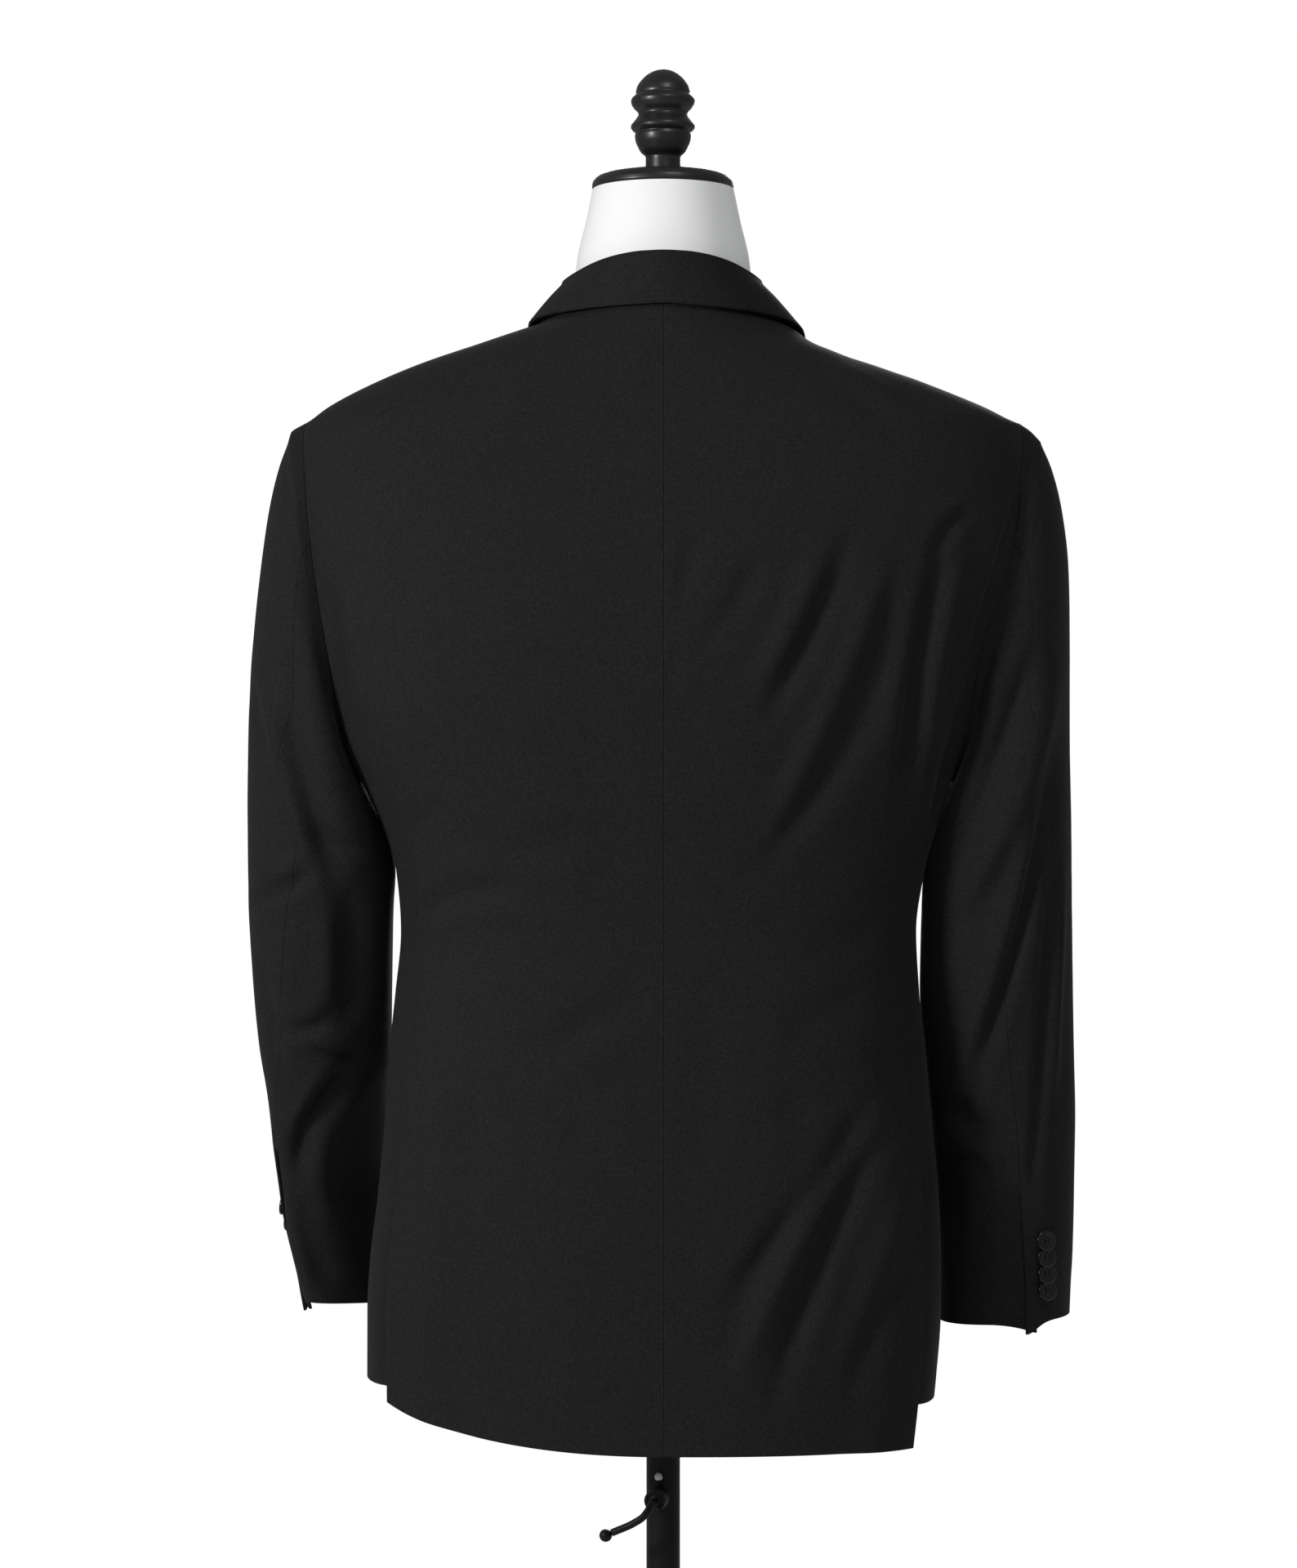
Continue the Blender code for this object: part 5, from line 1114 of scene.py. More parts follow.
def sleeve_grid(side, first, last, size):
    """Top or under sleeve between two seams, with its head's roll, its drop at the cuff vent, its
    creases and, on the under sleeve, the underlap of the vent."""
    count = len(SLEEVE_SECTIONS[side])
    place = -1.0 + count * spread(size[0], ROW_SPREAD)
    step = first + (last - first) * spread(size[1], COLUMN_SPREAD)
    vent = count - CUFF_VENT_START
    lap = ease(place, vent, vent + 0.3)[:, None] * (first == BACK_SEAM_STEP)
    grid, middle = sleeve_surface(side, place, step)
    inside = np.broadcast_to(middle[:, None], grid.shape)
    normals = outward_normals(grid, inside)
    near, far = reach_along(grid)
    under_top, _ = sleeve_surface(side, place, step - CUFF_UNDERLAP)
    tucked = (lap * (1 - ease(near, *CUFF_UNDERLAP_REACH)))[..., None]
    grid = grid + (under_top - grid) * tucked - normals * CUFF_UNDERLAP_DEPTH * tucked
    degrees = 360 * step / ARM_STEPS
    drop = np.exp(-((degrees - 360 * BACK_SEAM_STEP / ARM_STEPS) / CUFF_DROP_WIDTH) ** 2)
    grid[..., 2] -= CUFF_DROP * drop * ease(place, count - CUFF_DROP_START, count - 1.0)[:, None]
    down = lengths(grid, 0)
    upper = np.clip(np.cos(np.radians(degrees)), 0.0, 1.0)
    roll = HEAD_ROLL * upper * np.exp(-((down - HEAD_ROLL_AT) / HEAD_ROLL_WIDTH) ** 2)
    ripple = np.sin(degrees * 0.9 + 1.3 * np.sin(degrees / 7))
    pucker = HEAD_PUCKER * upper * ripple * np.exp(-down / HEAD_PUCKER_FADE)
    behind, before = SLEEVE_CREASES[side]
    push = crease_push(grid, behind, ease(normals[..., 1], *TURNED_BACK), SLEEVE_GAIN)
    push = push + crease_push(grid, before, ease(-normals[..., 1], *TURNED_FORWARD), SLEEVE_FRONT_GAIN)
    wave = slow_waves(grid, LOW_WAVE, 7.0 + side)
    push = push + wave * ease(near, *SLEEVE_SEAM_FADE) * ease(far, *SLEEVE_SEAM_FADE)
    push = push * ease(down, *HEAD_FADE) * ease(down[-1:] - down, *CUFF_FADE)
    grid = grid + normals * (roll + pucker + push)[..., None]
    return drawn_in(grid, top=SEAM_DRAW), inside


def surface_normal(side, behind, turn, height):
    """Outward unit normals of the coat's surface, from small steps round it and down."""
    here = body_point(side, behind, turn, height)
    round_step = body_point(side, behind, turn + 0.01, height) - here
    down_step = body_point(side, behind, turn, height - 1.0) - here
    normal = unit(np.cross(round_step, down_step))
    looking = np.sum(normal[..., :2] * here[..., :2], axis=-1, keepdims=True)
    return np.where(looking > 0, normal, -normal)


def collar_sections(seam, fold, edge, up):
    """Cross-sections of the collar: up the stand, round the fold on a circle, down the fall."""
    out = unit((edge - seam) - up * np.sum((edge - seam) * up, axis=-1, keepdims=True))
    centre = fold - up * COLLAR_FOLD_RADIUS
    inside = centre - out * COLLAR_FOLD_RADIUS
    outside = centre + out * COLLAR_FOLD_RADIUS
    shoulder = COLLAR_FOLD_RADIUS * math.sqrt(0.5)
    fall = [outside + (edge - outside) * share + up * bulge for share, bulge in FALL_POINTS]
    points = [seam, (seam + inside) / 2, inside, centre + shoulder * (up - out), fold,
              centre + shoulder * (up + out), outside, *fall, edge]
    return np.stack(points, axis=1)


def fall_edge(side, behind, turn, height, out):
    """Lower edge of the collar's fall: the coat's surface, moved out along its normal."""
    normal = surface_normal(side, behind, np.maximum(turn, 0.02), height)
    return body_point(side, behind, turn, height) + out[:, None] * normal


def collar_half(side):
    """Sections of one half of the collar, from centre back to the gorge."""
    upright = np.array([0.0, 0.0, 1.0])
    name = SIDE_NAMES[side]
    degrees = np.linspace(90.0, 0.0, COLLAR_BACK_STATIONS)
    sizes = table(COLLAR_BACK_COLUMNS, COLLAR_BACK)
    size = sized(sizes, sizes["turn"], degrees)
    turn = np.radians(degrees)
    neck = NAPE_HEIGHT + (NECK_POINT_HEIGHT - NAPE_HEIGHT) * ease(1 - degrees / 90.0, 0.0, 1.0)
    seam = body_point(side, True, turn, neck + COLLAR_SEAM_RAISE)
    inward = unit(-seam * np.array([1.0, 1.0, 0.0]))
    fold = seam + upright * size["rise"][:, None] + inward * size["lean"][:, None]
    edge = fall_edge(side, True, turn, size[name + "_edge"], size["edge_out"])
    back = collar_sections(seam, fold, edge, np.broadcast_to(upright, seam.shape))
    sizes = table(COLLAR_FRONT_COLUMNS, COLLAR_FRONT)
    heights = np.linspace(COLLAR_FRONT[-1][0], COLLAR_FRONT[0][0], COLLAR_FRONT_STATIONS)
    size = sized(sizes, sizes["seam_height"], heights)
    turn = turn_at_width(side, False, heights, roll_x(heights))
    stand = size["upright"][:, None]
    up = unit(stand * upright + (1 - stand) * surface_normal(side, False, turn, heights))
    seam = front_surface(side, roll_x(heights), heights) - np.array([side * COLLAR_SEAM_IN, 0.0, 0.0])
    seam = seam + up * COLLAR_SEAM_RAISE
    low = size[name + "_edge"]
    turn = turn_at_width(side, False, low, size[name + "_x"])
    edge = fall_edge(side, False, turn, low, size["edge_out"])
    return np.concatenate([back, collar_sections(seam, seam + up * size["rise"][:, None], edge, up)])


def collar_grid():
    """The whole collar through its sections, from the right gorge round the neck to the left."""
    coarse = np.concatenate([collar_half(RIGHT)[:0:-1], collar_half(LEFT)])
    stations = np.arange(len(coarse), dtype=float)
    fine = smooth(stations[-1] * spread(COLLAR_SIZE[0], COLLAR_SPREAD), stations, coarse)
    knots = np.arange(coarse.shape[1], dtype=float)
    across = np.linspace(0.0, knots[-1], COLLAR_SIZE[1])
    grid = np.swapaxes(smooth(across, knots, np.swapaxes(fine, 0, 1)), 0, 1)
    middle = (fine[:, 0] + fine[:, 2] + fine[:, 6] + fine[:, -1]) / 4
    return grid, np.broadcast_to(middle[:, None], grid.shape)


def turned_axes(axis, up):
    """Rows are a turned piece's own x, y and z directions. Its x is square to up and the axis."""
    z = unit(np.asarray(axis, float))
    x = unit(np.cross(np.asarray(up, float), z))
    return np.stack([x, np.cross(z, x), z])


def turned_mesh(name, profile, steps, bend, axis=None, start=None):
    """A turned shape: a smooth profile of radius and height, spun round an axis. The profile's
    points are joined by limited cubics, and its ends lie on the axis or close on each other."""
    profile = np.array(profile, float)
    knots = np.arange(len(profile), dtype=float)
    fine = smooth(np.linspace(0.0, knots[-1], bend * (len(profile) - 1) + 1), knots, profile)
    solid = profile[0, 0] == 0
    body = fine[1:-1] if solid else fine
    angle = 2 * math.pi * np.arange(steps) / steps
    ring = np.stack([np.cos(angle), np.sin(angle), 0 * angle], axis=-1)
    points = body[:, None, :1] * ring + body[:, None, 1:] * np.array([0.0, 0.0, 1.0])
    points = points.reshape(-1, 3)
    index = np.arange(len(points)).reshape(-1, steps)
    if solid:
        points = np.concatenate([points, [[0.0, 0.0, fine[0, 1]], [0.0, 0.0, fine[-1, 1]]]])
    else:
        index = np.concatenate([index, index[:1]])
    if axis is not None:
        points = points @ turned_axes(axis, (0.0, 0.0, 1.0)) + start
    mesh = make_mesh(name, points, spun_faces(index, solid))
    mesh.set_sharp_from_angle(angle=TURNED_SHARP)
    return mesh


def arc(radius, start, end, middle, count):
    """Points of a profile on an arc, from one angle off the axis to another."""
    turn = np.linspace(start, end, count)
    return [(middle[0] + radius * math.sin(a), middle[1] + radius * math.cos(a)) for a in turn]


def rods_mesh(name, paths, radius, sides=8, aside=None):
    """Several round rods as one mesh: the same circle in the plane across each point of each
    path, and flat ends. Its first corner is turned by a direction aside of the path."""
    path = np.stack(paths)
    way = unit(np.gradient(path, axis=1))
    if aside is None:
        aside = unit(np.cross(way[:, :1] + [[0.31, 0.17, 0.52]], way))
    x = unit(np.cross(aside, way))[:, :, None]
    y = np.cross(way, x[:, :, 0])[:, :, None]
    angle = (2 * math.pi * np.arange(sides) / sides)[:, None]
    rings = path[:, :, None] + radius * (np.cos(angle) * x + np.sin(angle) * y)
    return make_mesh(name, rings.reshape(-1, 3), ring_faces(rings.shape[:-1]))


def fill(node, **values):
    """Links sockets to a node's inputs, or sets plain values on them, by the inputs' names with
    underscores for spaces."""
    for name, value in values.items():
        socket = node.inputs[name.replace("_", " ")]
        if isinstance(value, bpy.types.NodeSocket):
            node.id_data.links.new(value, socket)
        else:
            socket.default_value = value
    return node


def new_finish(name):
    """A new material with its node tree, its shader and the places on the piece's own object."""
    material = bpy.data.materials.new(name)
    material.use_nodes = True
    tree = material.node_tree
    place = tree.nodes.new("ShaderNodeTexCoord").outputs["Object"]
    return material, tree, tree.nodes["Principled BSDF"], place


def ramp(tree, source, low, high, dark, light):
    """A colour ramp from dark to light between two places of a source value."""
    node = fill(tree.nodes.new("ShaderNodeValToRGB"), Fac=source)
    for element, position, colour in zip(node.color_ramp.elements, (low, high), (dark, light)):
        element.position = position
        element.color = (*colour, 1.0)
    return node.outputs["Color"]


def noise(tree, place, scale, detail=3.0, roughness=0.5):
    """A noise texture at a place, as its value."""
    node = tree.nodes.new("ShaderNodeTexNoise")
    return fill(node, Vector=place, Scale=scale, Detail=detail, Roughness=roughness).outputs["Fac"]


def stretched(tree, place, scale):
    """A place whose axes are scaled."""
    return fill(tree.nodes.new("ShaderNodeMapping"), Vector=place, Scale=scale).outputs["Vector"]


def between(tree, source, low, high):
    """A value of 0 to 1, brought to between low and high."""
    node = tree.nodes.new("ShaderNodeMapRange")
    return fill(node, Value=source, To_Min=low, To_Max=high).outputs["Result"]


def bump(tree, height, distance, strength, **before):
    """A bump from a height value, on top of an earlier one given as Normal."""
    node = tree.nodes.new("ShaderNodeBump")
    return fill(node, Height=height, Distance=distance, Strength=strength, **before).outputs["Normal"]


@cache
def wool_finish():
    """Fine black worsted: a steep twill of 0.55 mm ribs on the cloth's own map, slubs in the yarn
    that change its tone a little, and a short nap that catches light."""
    material, tree, shader, place = new_finish("wool_worsted")
    cloth = tree.nodes.new("ShaderNodeUVMap")
    cloth.uv_map = "cloth"
    turn = fill(tree.nodes.new("ShaderNodeMapping"), Vector=cloth.outputs["UV"],
                Rotation=(0.0, 0.0, math.radians(27)))
    twill = tree.nodes.new("ShaderNodeTexWave")
    twill.bands_direction = "X"
    fill(twill, Vector=turn.outputs["Vector"], Scale=290.0, Distortion=1.2, Detail=2.0, Detail_Scale=3.0)
    yarn = noise(tree, stretched(tree, cloth.outputs["UV"], (2600.0, 420.0, 1.0)), 1.0, 2.0)
    cloudy = noise(tree, place, 600.0, 4.0, 0.7)
    tone = tree.nodes.new("ShaderNodeMath")
    tone.operation = "MULTIPLY_ADD"
    tone.inputs[1].default_value = 0.45
    tree.links.new(yarn, tone.inputs[0])
    tree.links.new(cloudy, tone.inputs[2])
    colour = ramp(tree, tone.outputs["Value"], 0.5, 0.92, (0.0062, 0.0062, 0.0067), (0.0178, 0.0177, 0.0189))
    ribs = bump(tree, twill.outputs["Fac"], 0.00012, 0.35)
    fill(shader, Base_Color=colour, Roughness=between(tree, yarn, 0.72, 0.86),
         Normal=bump(tree, yarn, 0.0001, 0.3, Normal=ribs),
         Sheen_Weight=0.03, Sheen_Roughness=0.4, Specular_IOR_Level=0.12)
    return material


@cache
def thread_finish():
    """Black silk thread with a fine twist."""
    material, tree, shader, place = new_finish("silk_thread")
    twist = noise(tree, place, 1900.0, 1.0)
    fill(shader, Base_Color=ramp(tree, twist, 0.3, 0.7, (0.010, 0.010, 0.011), (0.022, 0.022, 0.024)),
         Roughness=0.42, Specular_IOR_Level=0.4)
    return material


@cache
def horn_finish():
    """Black horn: grey and brown streaks under a polish, with fine scratches."""
    material, tree, shader, place = new_finish("black_horn")
    streak = noise(tree, stretched(tree, place, (1.0, 1.0, 0.35)), 260.0, 5.0, 0.62)
    fill(shader, Base_Color=ramp(tree, streak, 0.4, 0.75, (0.004, 0.004, 0.0045), (0.012, 0.011, 0.010)),
         Normal=bump(tree, noise(tree, place, 2400.0, 3.0), 0.00002, 0.2),
         Roughness=0.22, Specular_IOR_Level=0.4, Coat_Weight=0.1, Coat_Roughness=0.12)
    return material


def painted_finish(name, dark, light, roughness, grain, coat, shine):
    """Black paint with an uneven film: slow tone changes, a fine orange-peel bump and a coat."""
    material, tree, shader, place = new_finish(name)
    film = noise(tree, place, 30.0, 5.0, 0.6)
    fill(shader, Base_Color=ramp(tree, film, 0.3, 0.75, dark, light),
         Roughness=between(tree, film, roughness - 0.05, roughness + 0.07),
         Normal=bump(tree, noise(tree, place, grain, 2.0), 0.00004, 0.25),
         Specular_IOR_Level=shine, Coat_Weight=coat, Coat_Roughness=0.16)
    return material


def steel_finish():
    """Bright steel of the small screw, brushed."""
    material, tree, shader, place = new_finish("bright_screw")
    brush = noise(tree, place, 900.0, 4.0)
    fill(shader, Base_Color=ramp(tree, brush, 0.3, 0.7, (0.34, 0.34, 0.35), (0.55, 0.55, 0.56)),
         Metallic=1.0, Roughness=0.32)
    return material


def jersey_finish():
    """White cotton jersey: columns of fine knit on Object coordinates and a soft nap."""
    material, tree, shader, place = new_finish("white_jersey")
    knit = noise(tree, stretched(tree, place, (1300.0, 1300.0, 700.0)), 1.0, 2.0)
    soil = noise(tree, place, 14.0, 4.0)
    fill(shader, Base_Color=ramp(tree, soil, 0.3, 0.7, (0.93, 0.93, 0.925), (0.96, 0.96, 0.955)),
         Normal=bump(tree, knit, 0.0002, 0.25), Roughness=0.85, Sheen_Weight=0.15, Sheen_Roughness=0.5,
         Specular_IOR_Level=0.2)
    return material


def build_camera():
    """A level camera behind the coat, with its long side upright."""
    data = bpy.data.cameras.new("camera")
    data.lens = CAMERA_LENS
    data.sensor_width = SENSOR
    data.sensor_fit = "AUTO"
    camera = bpy.data.objects.new("camera", data)
    camera.location = CAMERA_PLACE
    camera.rotation_euler = (math.pi / 2, 0.0, math.pi)
    bpy.context.scene.collection.objects.link(camera)
    bpy.context.scene.camera = camera


def build_stage():
    """A plain pale floor, a white surround, and a soft key light, high light and front light."""
    around = ((-1, -1), (1, -1), (1, 1), (-1, 1))
    corners = np.array([[x * FLOOR_HALF, y * FLOOR_HALF, FLOOR_HEIGHT] for x, y in around])
    floor = bpy.data.objects.new("floor", make_mesh("floor", corners, [[0, 1, 2, 3]]))
    material, tree, shader, place = new_finish("pale_floor")
    speck = noise(tree, place, 3.0, 3.0)
    fill(shader, Base_Color=ramp(tree, speck, 0.3, 0.7, (0.80, 0.80, 0.80), (0.84, 0.84, 0.84)),
         Roughness=0.9, Specular_IOR_Level=0.1)
    floor.data.materials.append(material)
    bpy.context.scene.collection.objects.link(floor)
    world = bpy.data.worlds.new("studio")
    world.use_nodes = True
    nodes = world.node_tree.nodes
    backdrop = nodes.new("ShaderNodeBackground")
    fill(backdrop, Color=(1.0, 1.0, 1.0, 1.0), Strength=BACKDROP_STRENGTH)
    room = fill(nodes["Background"], Color=(0.96, 0.98, 1.0, 1.0), Strength=ROOM_STRENGTH)
    rays = nodes.new("ShaderNodeLightPath")
    mix = fill(nodes.new("ShaderNodeMixShader"), Fac=rays.outputs["Is Camera Ray"])
    world.node_tree.links.new(room.outputs["Background"], mix.inputs[1])
    world.node_tree.links.new(backdrop.outputs["Background"], mix.inputs[2])
    fill(nodes["World Output"], Surface=mix.outputs["Shader"])
    bpy.context.scene.world = world
    bpy.context.scene.view_settings.view_transform = "Standard"
    for name, place, target, width, power in LIGHTS:
        light = bpy.data.lights.new(name, "AREA")
        light.size = width
        light.energy = power
        lamp = bpy.data.objects.new(name, light)
        lamp.location = place
        way = Vector(target) - Vector(place)
        lamp.rotation_euler = way.to_track_quat("-Z", "Y").to_euler()
        bpy.context.scene.collection.objects.link(lamp)


def build_coat():
    """The cloth pieces and cuff buttons of both sides, then the breast welt and the collar."""
    for side in (LEFT, RIGHT):
        name = SIDE_NAMES[side]
        back, front = "wool_back_" + name, "wool_front_" + name
        cloth_piece("back", side, back_grid(side), None, ["dress_form"])
        cloth_piece("side", side, side_grid(side), None, ["dress_form"])
        cloth_piece("front", side, front_grid(side), None, ["dress_form"])
        cloth_piece("lapel", side, lapel_grid(side), None, [front])
        cloth_piece("flap", side, patch_grid(side, FLAP_X, FLAP_HEIGHTS, 0.0, FLAP_CORNER), None, [front])
        top = sleeve_grid(side, FRONT_SEAM_STEP - ARM_STEPS, BACK_SEAM_STEP, TOP_SLEEVE_SIZE)
        under = sleeve_grid(side, BACK_SEAM_STEP, FRONT_SEAM_STEP, UNDER_SLEEVE_SIZE)
        cloth_piece("sleeve_top", side, *top, [back, front])
        cloth_piece("sleeve_under", side, *under, [back, front])
        cuff_buttons(side)
    cloth_piece("breast_welt", None, patch_grid(LEFT, WELT_X, WELT_HEIGHTS, WELT_RISE), None,
                ["wool_front_left"])
    cloth_piece("collar", None, *collar_grid(), ["wool_back_left", "wool_back_right"])


def button_mesh(name, radius, thickness, place, axes):
    """A sewn button: a domed back, a rounded rim, a dished middle and four round holes. Its upper
    height is a function of the radius and the distance to each hole."""
    share = np.concatenate([np.linspace(0.04, 0.78, 22), np.linspace(0.80, 1.0, 12)])[:, None]
    angle = 2 * math.pi * np.arange(BUTTON_STEPS) / BUTTON_STEPS
    half = thickness / 2
    past = np.clip((share - BUTTON_RIM) / (1 - BUTTON_RIM), 0.0, 1.0)
    rim = np.sqrt(np.clip(1 - past ** 2, 0.0, 1.0))
    dish = BUTTON_DISH_DEPTH * half * (1 - ease(share, *BUTTON_DISH))
    top = half * (BUTTON_TOP_EDGE + (1 - BUTTON_TOP_EDGE) * rim) - dish
    x = share * radius * np.cos(angle)
    y = share * radius * np.sin(angle)
    hole = HOLE_RADIUS * radius
    slope = [hole * part for part in HOLE_SLOPE]
    height = top * np.ones_like(angle)
    for turn in math.pi / 4 + math.pi / 2 * np.arange(4):
        away = np.hypot(x - HOLE_SHARE * radius * math.cos(turn), y - HOLE_SHARE * radius * math.sin(turn))
        height = height - HOLE_DEPTH * half * (1 - ease(away, *slope))
    back = np.sqrt(np.clip(1 - share ** 4, 0.0, 1.0)) * np.ones_like(angle)
    bottom = -half * (BUTTON_BACK_EDGE + (1 - BUTTON_BACK_EDGE) * back)
    lower = np.stack([x, y, bottom], axis=-1)[::-1]
    points = np.concatenate([np.stack([x, y, height], axis=-1), lower]).reshape(-1, 3)
    index = np.arange(len(points)).reshape(-1, BUTTON_STEPS)
    points = np.concatenate([points, [[0.0, 0.0, height[0].mean()], [0.0, 0.0, bottom[0, 0]]]])
    return make_mesh(name, points @ axes + place, spun_faces(index, True))


def button_thread(radius, thickness, place, axes):
    """Two loops of thread across the holes: half waves that rise from one hole to the next."""
    hole = HOLE_SHARE * radius * math.sqrt(0.5)
    t = np.linspace(0.0, 1.0, 12)
    z = 0.30 * thickness + 0.42 * np.sin(math.pi * t) - 0.5 * (1 - np.sin(math.pi * t)) ** 4
    return [np.stack([hole * (2 * t - 1), np.full_like(t, row * hole + strand), z], axis=-1) @ axes + place
            for row in (-1, 1) for strand in (-0.22, 0.22)]


def sewn_button(node, radius, thickness, place, axis, up):
    """A button in its node's place with the thread that holds it."""
    axes = turned_axes(axis, up)
    mesh = button_mesh("horn_" + node, radius, thickness, place, axes)
    place_piece(mesh, horn_finish(), "figure", "horn", node)
    mesh = rods_mesh("thread_" + node, button_thread(radius, thickness, place, axes), THREAD_RADIUS)
    place_piece(mesh, thread_finish(), "figure", "wool")


def cuff_buttons(side):
    """A row of buttons up the cuff, each tilted so that it laps over the one below."""
    count = len(SLEEVE_SECTIONS[side])
    place = np.linspace(count - CUFF_BUTTON_START, count - 1.0, CUFF_BUTTON_STEPS)
    step = np.array([0.0, 0.5]) + CUFF_BUTTON_ANGLE[side] * ARM_STEPS / 360
    surface, middles = sleeve_surface(side, place, step)
    column = surface[::-1, 0]
    turning = surface[::-1, 1] - column
    middles = middles[::-1]
    tilt = math.radians(CUFF_BUTTON_TILT)
    stand = CUFF_BUTTON_RADIUS * math.sin(tilt) + CUFF_BUTTON_THICKNESS / 2 + CUFF_BUTTON_CLEAR
    for i in range(CUFF_BUTTON_COUNT):
        height = CUFF_BUTTON_LOWEST[side] + i * CUFF_BUTTON_SPACING
        near = height + np.array([0.0, -CUFF_BUTTON_REACH, CUFF_BUTTON_REACH])
        here, low, high = at_places(near, column[:, 2], column)
        along = unit(high - low)
        out = unit(np.cross(at_places(height, column[:, 2], turning), along))
        out = out * np.sign(np.dot(out, here - at_places(height, middles[:, 2], middles)))
        axis = out * math.cos(tilt) + along * math.sin(tilt)
        sewn_button(f"cuff_button_{SIDE_NAMES[side]}_{i + 1}", CUFF_BUTTON_RADIUS, CUFF_BUTTON_THICKNESS,
                    here + out * stand, axis, along)


def build_front_buttons():
    """Two buttons on the left front, each with its worked buttonhole towards the edge."""
    paths = []
    for i, height in enumerate(BUTTON_HEIGHTS):
        place = front_surface(LEFT, np.array(0.0), np.array(height))
        place = place - np.array([0.0, FRONT_BUTTON_THICKNESS / 2 + FRONT_BUTTON_GAP, 0.0])
        sewn_button(f"front_button_{i + 1}", FRONT_BUTTON_RADIUS, FRONT_BUTTON_THICKNESS, place,
                    (0.0, -1.0, 0.0), (0.0, 0.0, 1.0))
        paths.append(buttonhole_path(*FRONT_HOLE, height, BUTTONHOLE_OUT))
    paths.append(buttonhole_path(*LAPEL_HOLE, LAPEL_OUT + LAPEL_HOLE_OUT))
    mesh = rods_mesh("buttonhole_edges", paths, BUTTONHOLE_EDGE)
    place_piece(mesh, thread_finish(), "figure", "wool")


def buttonhole_path(x, reach, height, out):
    """The worked edge of a buttonhole: a long flat loop with round ends on the left front."""
    angle = np.linspace(0.0, 2 * math.pi, BUTTONHOLE_STEPS)
    across = x + reach * rounded(np.cos(angle), BUTTONHOLE_POWER)
    points = front_surface(LEFT, across, height + BUTTONHOLE_HALF * np.sin(angle))
    points[:, 1] -= out
    return points


def build_form():
    """White torso with shoulders and neck: rings of the coat's section drawn in, then ovals."""
    angle = 2 * math.pi * np.arange(FORM_STEPS) / FORM_STEPS
    low = np.linspace(FORM_BOTTOM, FORM_LOW_TOP, FORM_LOW_ROWS)
    heights = np.concatenate([low, FORM_SHOULDER_HEIGHTS])[:, None]
    _, inset, arm_end = sized(FORM, FORM["height"], heights).values()
    section = heights + FORM_DROP * ease(heights, *FORM_DROP_HEIGHTS)
    quarter = np.arccos(np.clip(np.abs(np.cos(angle)), 0.0, 1.0))[None]
    x = np.zeros((len(heights), FORM_STEPS))
    y = np.zeros_like(x)
    for side in (LEFT, RIGHT):
        for behind in (True, False):
            width, depth, _ = body_sizes(side, behind, section)
            point = body_point(side, behind, quarter, section)
            here = (np.sign(np.cos(angle) + 1e-12) == side) & ((np.sin(angle) >= 0) == behind)
            drawn = point[..., 0] * (width - inset) / width
            x = np.where(here, np.clip(drawn, -arm_end, arm_end), x)
            y = np.where(here, point[..., 1] * (depth - inset) / depth, y)
    torso = np.stack([x, y, heights + 0.0 * x], axis=-1)
    half, back, front, high = (NECK[key][:, None] for key in ("half_width", "back", "front", "height"))
    depth = np.where(np.sin(angle) >= 0, back, front)
    neck = np.stack([half * np.cos(angle), depth * np.sin(angle), high + 0.0 * angle], axis=-1)
    coarse = np.concatenate([torso, neck])
    knots = coarse[:, 0, 2]
    fine_heights = np.interp(np.linspace(0, len(knots) - 1, FORM_RINGS), np.arange(len(knots)), knots)
    rings = smooth(fine_heights, knots, coarse)
    mesh = make_mesh("dress_form", rings.reshape(-1, 3), ring_faces(rings.shape[:-1]))
    mesh.set_sharp_from_angle(angle=FORM_SHARP)
    place_piece(mesh, jersey_finish(), "figure", "form_cloth", "form_torso")


def build_cap():
    """Domed neck cap and turned finial in black lacquer."""
    lacquer = painted_finish("black_lacquer", (0.009, 0.009, 0.010), (0.014, 0.014, 0.015), 0.38, 700.0,
                             0.15, 0.4)
    for name, node, profile in (("lacquered_cap", "neck_cap", CAP_PROFILE),
                                ("lacquered_finial", "finial", FINIAL_PROFILE)):
        place_piece(turned_mesh(name, profile, 96, 5), lacquer, "figure", "satin_black", node)


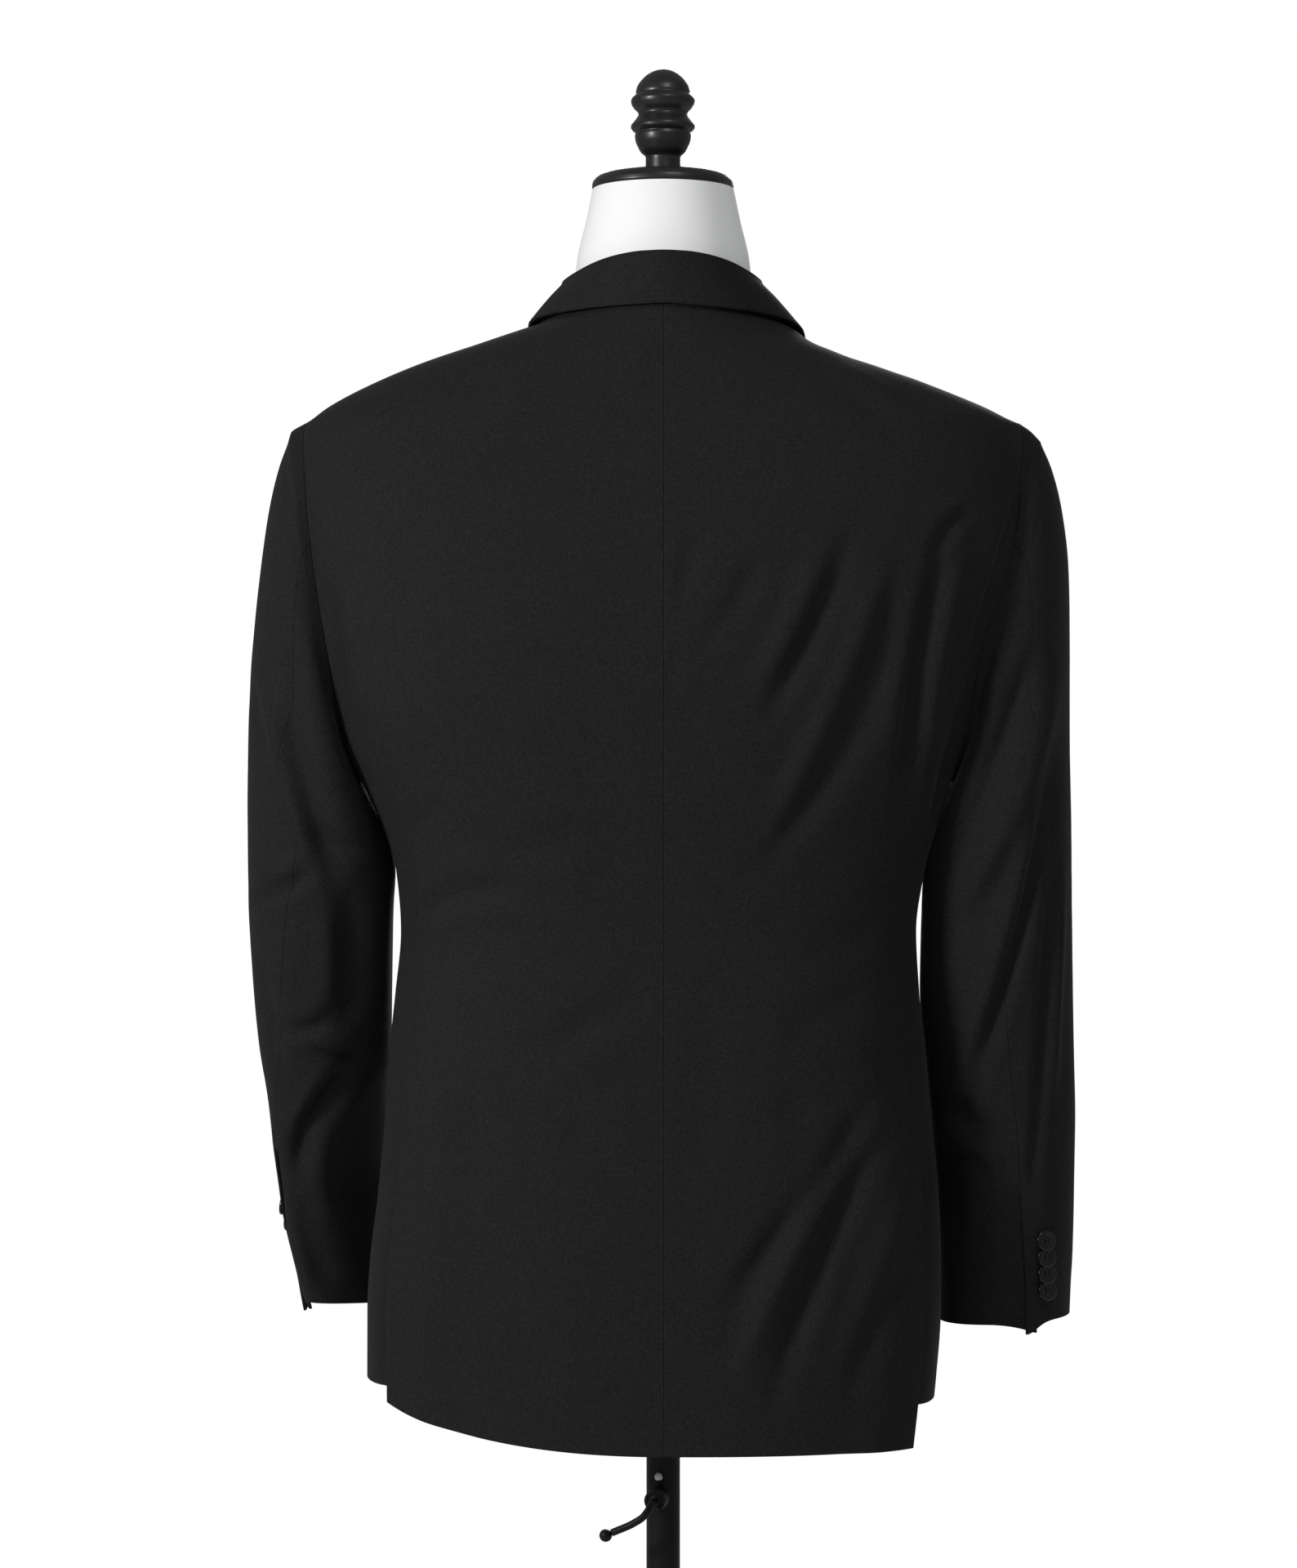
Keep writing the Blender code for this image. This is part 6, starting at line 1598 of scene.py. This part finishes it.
def build_stand():
    """Base, socket, tube, inner pole, clamp boss with its lever, ball and screw."""
    paint = painted_finish("black_paint", (0.004, 0.004, 0.0045), (0.007, 0.007, 0.0075), 0.42, 900.0,
                           0.0, 0.2)
    turn = math.radians(CLAMP_TURN)
    out = np.array([-math.sin(turn), math.cos(turn), 0.0])
    across = np.array([out[1], -out[0], 0.0])
    up = np.array([0.0, 0.0, 1.0])
    edge = SCREW_RADIUS - SCREW_ROUND
    quarter = math.pi / 2
    screw = [(0.0, SCREW_THICKNESS),
             *arc(SCREW_ROUND, 0.0, quarter, (edge, SCREW_THICKNESS - SCREW_ROUND), 5),
             *arc(SCREW_ROUND, quarter, 2 * quarter, (edge, SCREW_ROUND), 5), (0.0, 0.0)]
    boss_start = out * BOSS_START + up * BOSS_HEIGHT
    screw_start = out * SCREW_START + up * SCREW_HEIGHT
    for name, profile, steps, bend, start, body, node in (
        ("painted_base", BASE_PROFILE, 144, 3, None, "stand", "base"),
        ("painted_socket", SOCKET_PROFILE, 72, 3, None, "stand", "foot_socket"),
        ("painted_tube", TUBE_PROFILE, 64, 1, None, "stand", "outer_tube"),
        ("painted_pole", POLE_PROFILE, 64, 1, None, "pole", "inner_pole"),
        ("painted_boss", BOSS_PROFILE, 56, 2, boss_start, "stand", "clamp_boss"),
    ):
        mesh = turned_mesh(name, profile, steps, bend, None if start is None else out, start)
        place_piece(mesh, paint, body, "steel_black", node)
    mesh = turned_mesh("bright_screw", screw, 32, 1, out, screw_start)
    place_piece(mesh, steel_finish(), "stand", "screw_steel", "clamp_screw")
    knots = np.arange(len(LEVER_ROUTE), dtype=float)
    route = smooth(np.linspace(0.0, knots[-1], LEVER_STEPS), knots, LEVER_ROUTE)
    path = route @ np.stack([across, out, up])
    mesh = rods_mesh("painted_lever", [path], LEVER_RADIUS, LEVER_SIDES, up)
    place_piece(mesh, paint, "lever", "steel_black", "clamp_lever")
    way = unit(path[-1] - path[-2])
    ball = arc(LEVER_BALL_RADIUS, 0.0, math.pi, (0.0, 0.0), 17)
    ball[-1] = (0.0, -LEVER_BALL_RADIUS)
    middle = path[-1] + way * (LEVER_BALL_RADIUS + LEVER_BALL_GAP)
    mesh = turned_mesh("painted_ball", ball, 36, 1, way, middle)
    place_piece(mesh, paint, "lever", "steel_black", "lever_ball")


def main():
    """Builds the camera, the stage and every piece."""
    build_camera()
    build_stage()
    build_form()
    build_coat()
    build_front_buttons()
    build_cap()
    build_stand()


main()
